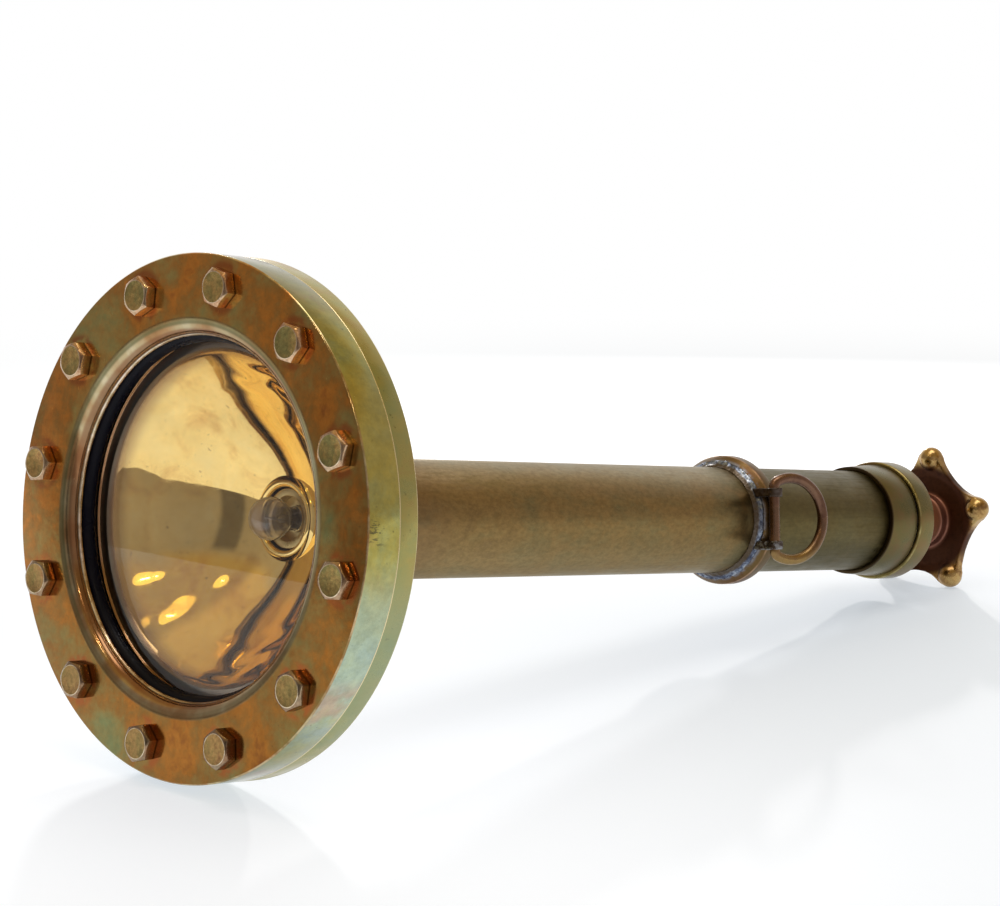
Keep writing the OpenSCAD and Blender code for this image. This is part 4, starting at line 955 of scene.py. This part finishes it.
def tail_finish():
    recipe = Recipe(bpy.data.materials.new("tail_brass"))
    place = recipe.bench()
    reach, turn, z = from_axis(recipe, place)
    colour, shade = tarnished(
        recipe, place, 22.0,
        (0.32, (0.115, 0.105, 0.042, 1.0)), (0.48, (0.145, 0.118, 0.043, 1.0)),
        (0.60, (0.17, 0.115, 0.045, 1.0)), (0.74, (0.12, 0.075, 0.035, 1.0)))
    colour = recipe.blend(recipe.step(z, 406.0, 406.4), colour, (1.25, 1.2, 1.1, 1.0), "MULTIPLY")
    worn = recipe.step(recipe.cloud(place, 5.0, 4.0, 0.6), 0.40, 0.62)
    # Brighter along the edges of the sleeve and the cap: partly worn brass, partly painted highlight.
    edges = recipe.step(abs(z - 405.3) + abs(reach - 25.1), 0.5, 0.2)
    edges = edges.high(recipe.step(abs(z - 406.7) + abs(reach - 26.3), 0.7, 0.3))
    edges = edges.high(recipe.step(abs(z - 417.1) + abs(reach - 26.3), 0.8, 0.3) * 0.5)
    colour = recipe.blend(edges * (0.2 + 0.6 * worn), colour, (0.50, 0.42, 0.19, 1.0))
    # Painted shade: the sleeve's front end is painted nearly black.
    dark = recipe.step(z, 389.0, 388.2)
    colour = recipe.blend(dark * 0.85, colour, (0.05, 0.032, 0.018, 1.0))
    rough = recipe.step(shade, 0.3, 0.7, 0.24, 0.38)
    dents = recipe.relief(recipe.cloud(place, 7.0, 3.0), 0.05)
    lathe = recipe.relief(recipe.cloud(recipe.stretched(place, 0.05, 0.05, 1.0), 0.4, 2.0), 0.006, dents)
    return recipe.surface(Base_Color=colour, Metallic=1.0, Roughness=rough, Normal=lathe)


tail_brass = tail_finish()
sleeve = turned([(24.05, 388.0), (25.2, 405.5), (21.7, 405.5), (21.7, 397.5), (22.2, 397.5),
                 (22.2, 388.0)], 192)
fitted(eased(sleeve, 0.25, 3, 30), "tail_sleeve_turned", "torch", "tail_brass", tail_brass, "tail_sleeve")
fitted(eased(turned([(25.0, 405.5), (25.0, 406.3), (21.94, 406.3), (21.94, 405.5)], 160), 0.2, 2),
       "tail_rubber", "seal", "rubber", rubber, "tail_seal")
cap = turned(
    [(21.64, 398.3), (21.64, 406.3), (25.6, 406.3)] + arc(25.6, 407.3, 1.0, -78, 0, 5)
    + arc(25.6, 416.5, 1.0, 0, 90, 6) + [(13.6, 417.5)] + arc(13.6, 418.1, 0.6, 270, 180, 4)
    + [(13, 424.4), (12.4, 425), (8.5, 425), (8.5, 418), (5.06, 418), (5.06, 410), (18.5, 410),
       (18.5, 398.3)], 192)
fitted(eased(cap, 0.15, 2, 50), "screwed_cap", "cap", "tail_brass", tail_brass, "tail_cap")
coat("gland_packing", plain_finish("packing", (0.45, 0.40, 0.30, 1.0), (0.62, 0.56, 0.44, 1.0), 0.0, 0.8, 1.5, 0.1))
gland = bmesh.new()
under = bolt_head(gland, 20.0, 431.0, 9.1, 425.0, 1.0, 10.0)
for radius, level in ((8.4, 425.0), (8.4, 421.0), (5.06, 421.0)):
    grown = bmesh.ops.extrude_edge_only(gland, edges=under)["geom"]
    for item in grown:
        if isinstance(item, bmesh.types.BMVert):
            flat = Vector((item.co.x, item.co.y, 0)).normalized() * radius
            item.co = Vector((flat.x, flat.y, level))
    under = [item for item in grown if isinstance(item, bmesh.types.BMEdge)]
top_face = max(gland.faces, key=lambda face: len(face.verts))
bmesh.ops.inset_individual(gland, faces=[top_face], thickness=9.1 * 0.93 - 5.06)
bmesh.ops.bridge_loops(gland, edges=under + [edge for edge in top_face.edges])
bmesh.ops.delete(gland, geom=[top_face], context="FACES_ONLY")
bmesh.ops.recalc_face_normals(gland, faces=gland.faces[:])
fitted(eased(gland, 0.2, 2, 24), "gland_nut_turned", "cap", "inner_brass", inner_brass, "gland_nut", crease=30)


# The screw switch: a brass spindle through the gland. The disc on its inner end carries the spring
# that is pressed against the last cell when the knob is screwed in.

coat("contact_disc", inner_brass)
coat("tail_spring", spring_steel)
rod = turned(
    [(0, 399.9), (3.7, 399.9), (3.7, 401.1), (2.5, 401.1), (2.5, 403.5), (5, 403.5), (5, 444.8), (4, 444.8),
     (4, 454.8), (3, 454.8), (3, 460.4), (2.6, 460.8), (0, 460.8)], 72, closed=False)
fitted(eased(rod, 0.15, 2, 40), "switch_spindle", "screw", "inner_brass", inner_brass, "spindle")


# The star knob: cast in one with its collar, dark in the hollows and rubbed to a gold-brown shine
# on its five ball-shaped lobes, held by a washer and a nut.

def knob_finish():
    recipe = Recipe(bpy.data.materials.new("knob_bronze"))
    place = recipe.bench()
    reach, turn, z = from_axis(recipe, place)
    colour, shade = tarnished(
        recipe, place, 12.0,
        (0.32, (0.055, 0.022, 0.013, 1.0)), (0.50, (0.085, 0.034, 0.019, 1.0)), (0.70, (0.038, 0.016, 0.012, 1.0)))
    rubbed = recipe.step(reach, 23.5, 28.0)
    gilt, _ = tarnished(
        recipe, place, 7.0,
        (0.32, (0.50, 0.36, 0.15, 1.0)), (0.50, (0.46, 0.29, 0.11, 1.0)), (0.66, (0.24, 0.125, 0.05, 1.0)))
    colour = recipe.blend(rubbed, colour, gilt)
    rim = recipe.step(z, 451.8, 453.8) * recipe.step(reach, 15.0, 20.0)
    colour = recipe.blend(rim * 0.22, colour, (0.40, 0.30, 0.12, 1.0))
    collar = recipe.step(z, 450.3, 449.6) * recipe.step(reach, 14.5, 12.8)
    colour = recipe.blend(collar, colour, (0.36, 0.165, 0.115, 1.0))
    rough = recipe.step(rubbed, 0.0, 1.0, 0.50, 0.25) + (shade - 0.5) * 0.2
    dents = recipe.relief(recipe.cloud(place, 3.0, 3.0), 0.07)
    skin = recipe.relief(recipe.cloud(place, 0.7, 3.0, 0.6), 0.015, dents)
    return recipe.surface(Base_Color=colour, Metallic=1.0, Roughness=rough, Normal=skin)


knob = cast("star_knob", 0.45, 10)
fitted(knob, "cast_knob", "screw", "knob_bronze", knob_finish(), "star_knob", crease=60)
washer = turned([(7.0, 455.0), (7.0, 455.8), (3.1, 455.8), (3.1, 455.0)], 64)
fitted(eased(washer, 0.2, 2), "knob_washer_turned", "screw", "tail_brass", tail_brass, "knob_washer")
nut = bmesh.new()
under = bolt_head(nut, 13.0, 460.0, 6.0, 455.8, 0.8, 20.0)
grown = bmesh.ops.extrude_edge_only(nut, edges=under)["geom"]
for item in grown:
    if isinstance(item, bmesh.types.BMVert):
        flat = Vector((item.co.x, item.co.y, 0)).normalized() * 3.0
        item.co = Vector((flat.x, flat.y, 455.8))
under = [item for item in grown if isinstance(item, bmesh.types.BMEdge)]
top_face = max(nut.faces, key=lambda face: len(face.verts))
bmesh.ops.inset_individual(nut, faces=[top_face], thickness=6.0 * 0.93 - 3.0)
bmesh.ops.bridge_loops(nut, edges=under + [edge for edge in top_face.edges])
bmesh.ops.delete(nut, geom=[top_face], context="FACES_ONLY")
bmesh.ops.recalc_face_normals(nut, faces=nut.faces[:])
fitted(eased(nut, 0.2, 2, 24), "knob_nut_turned", "screw", "tail_brass", tail_brass, "knob_nut", crease=30)
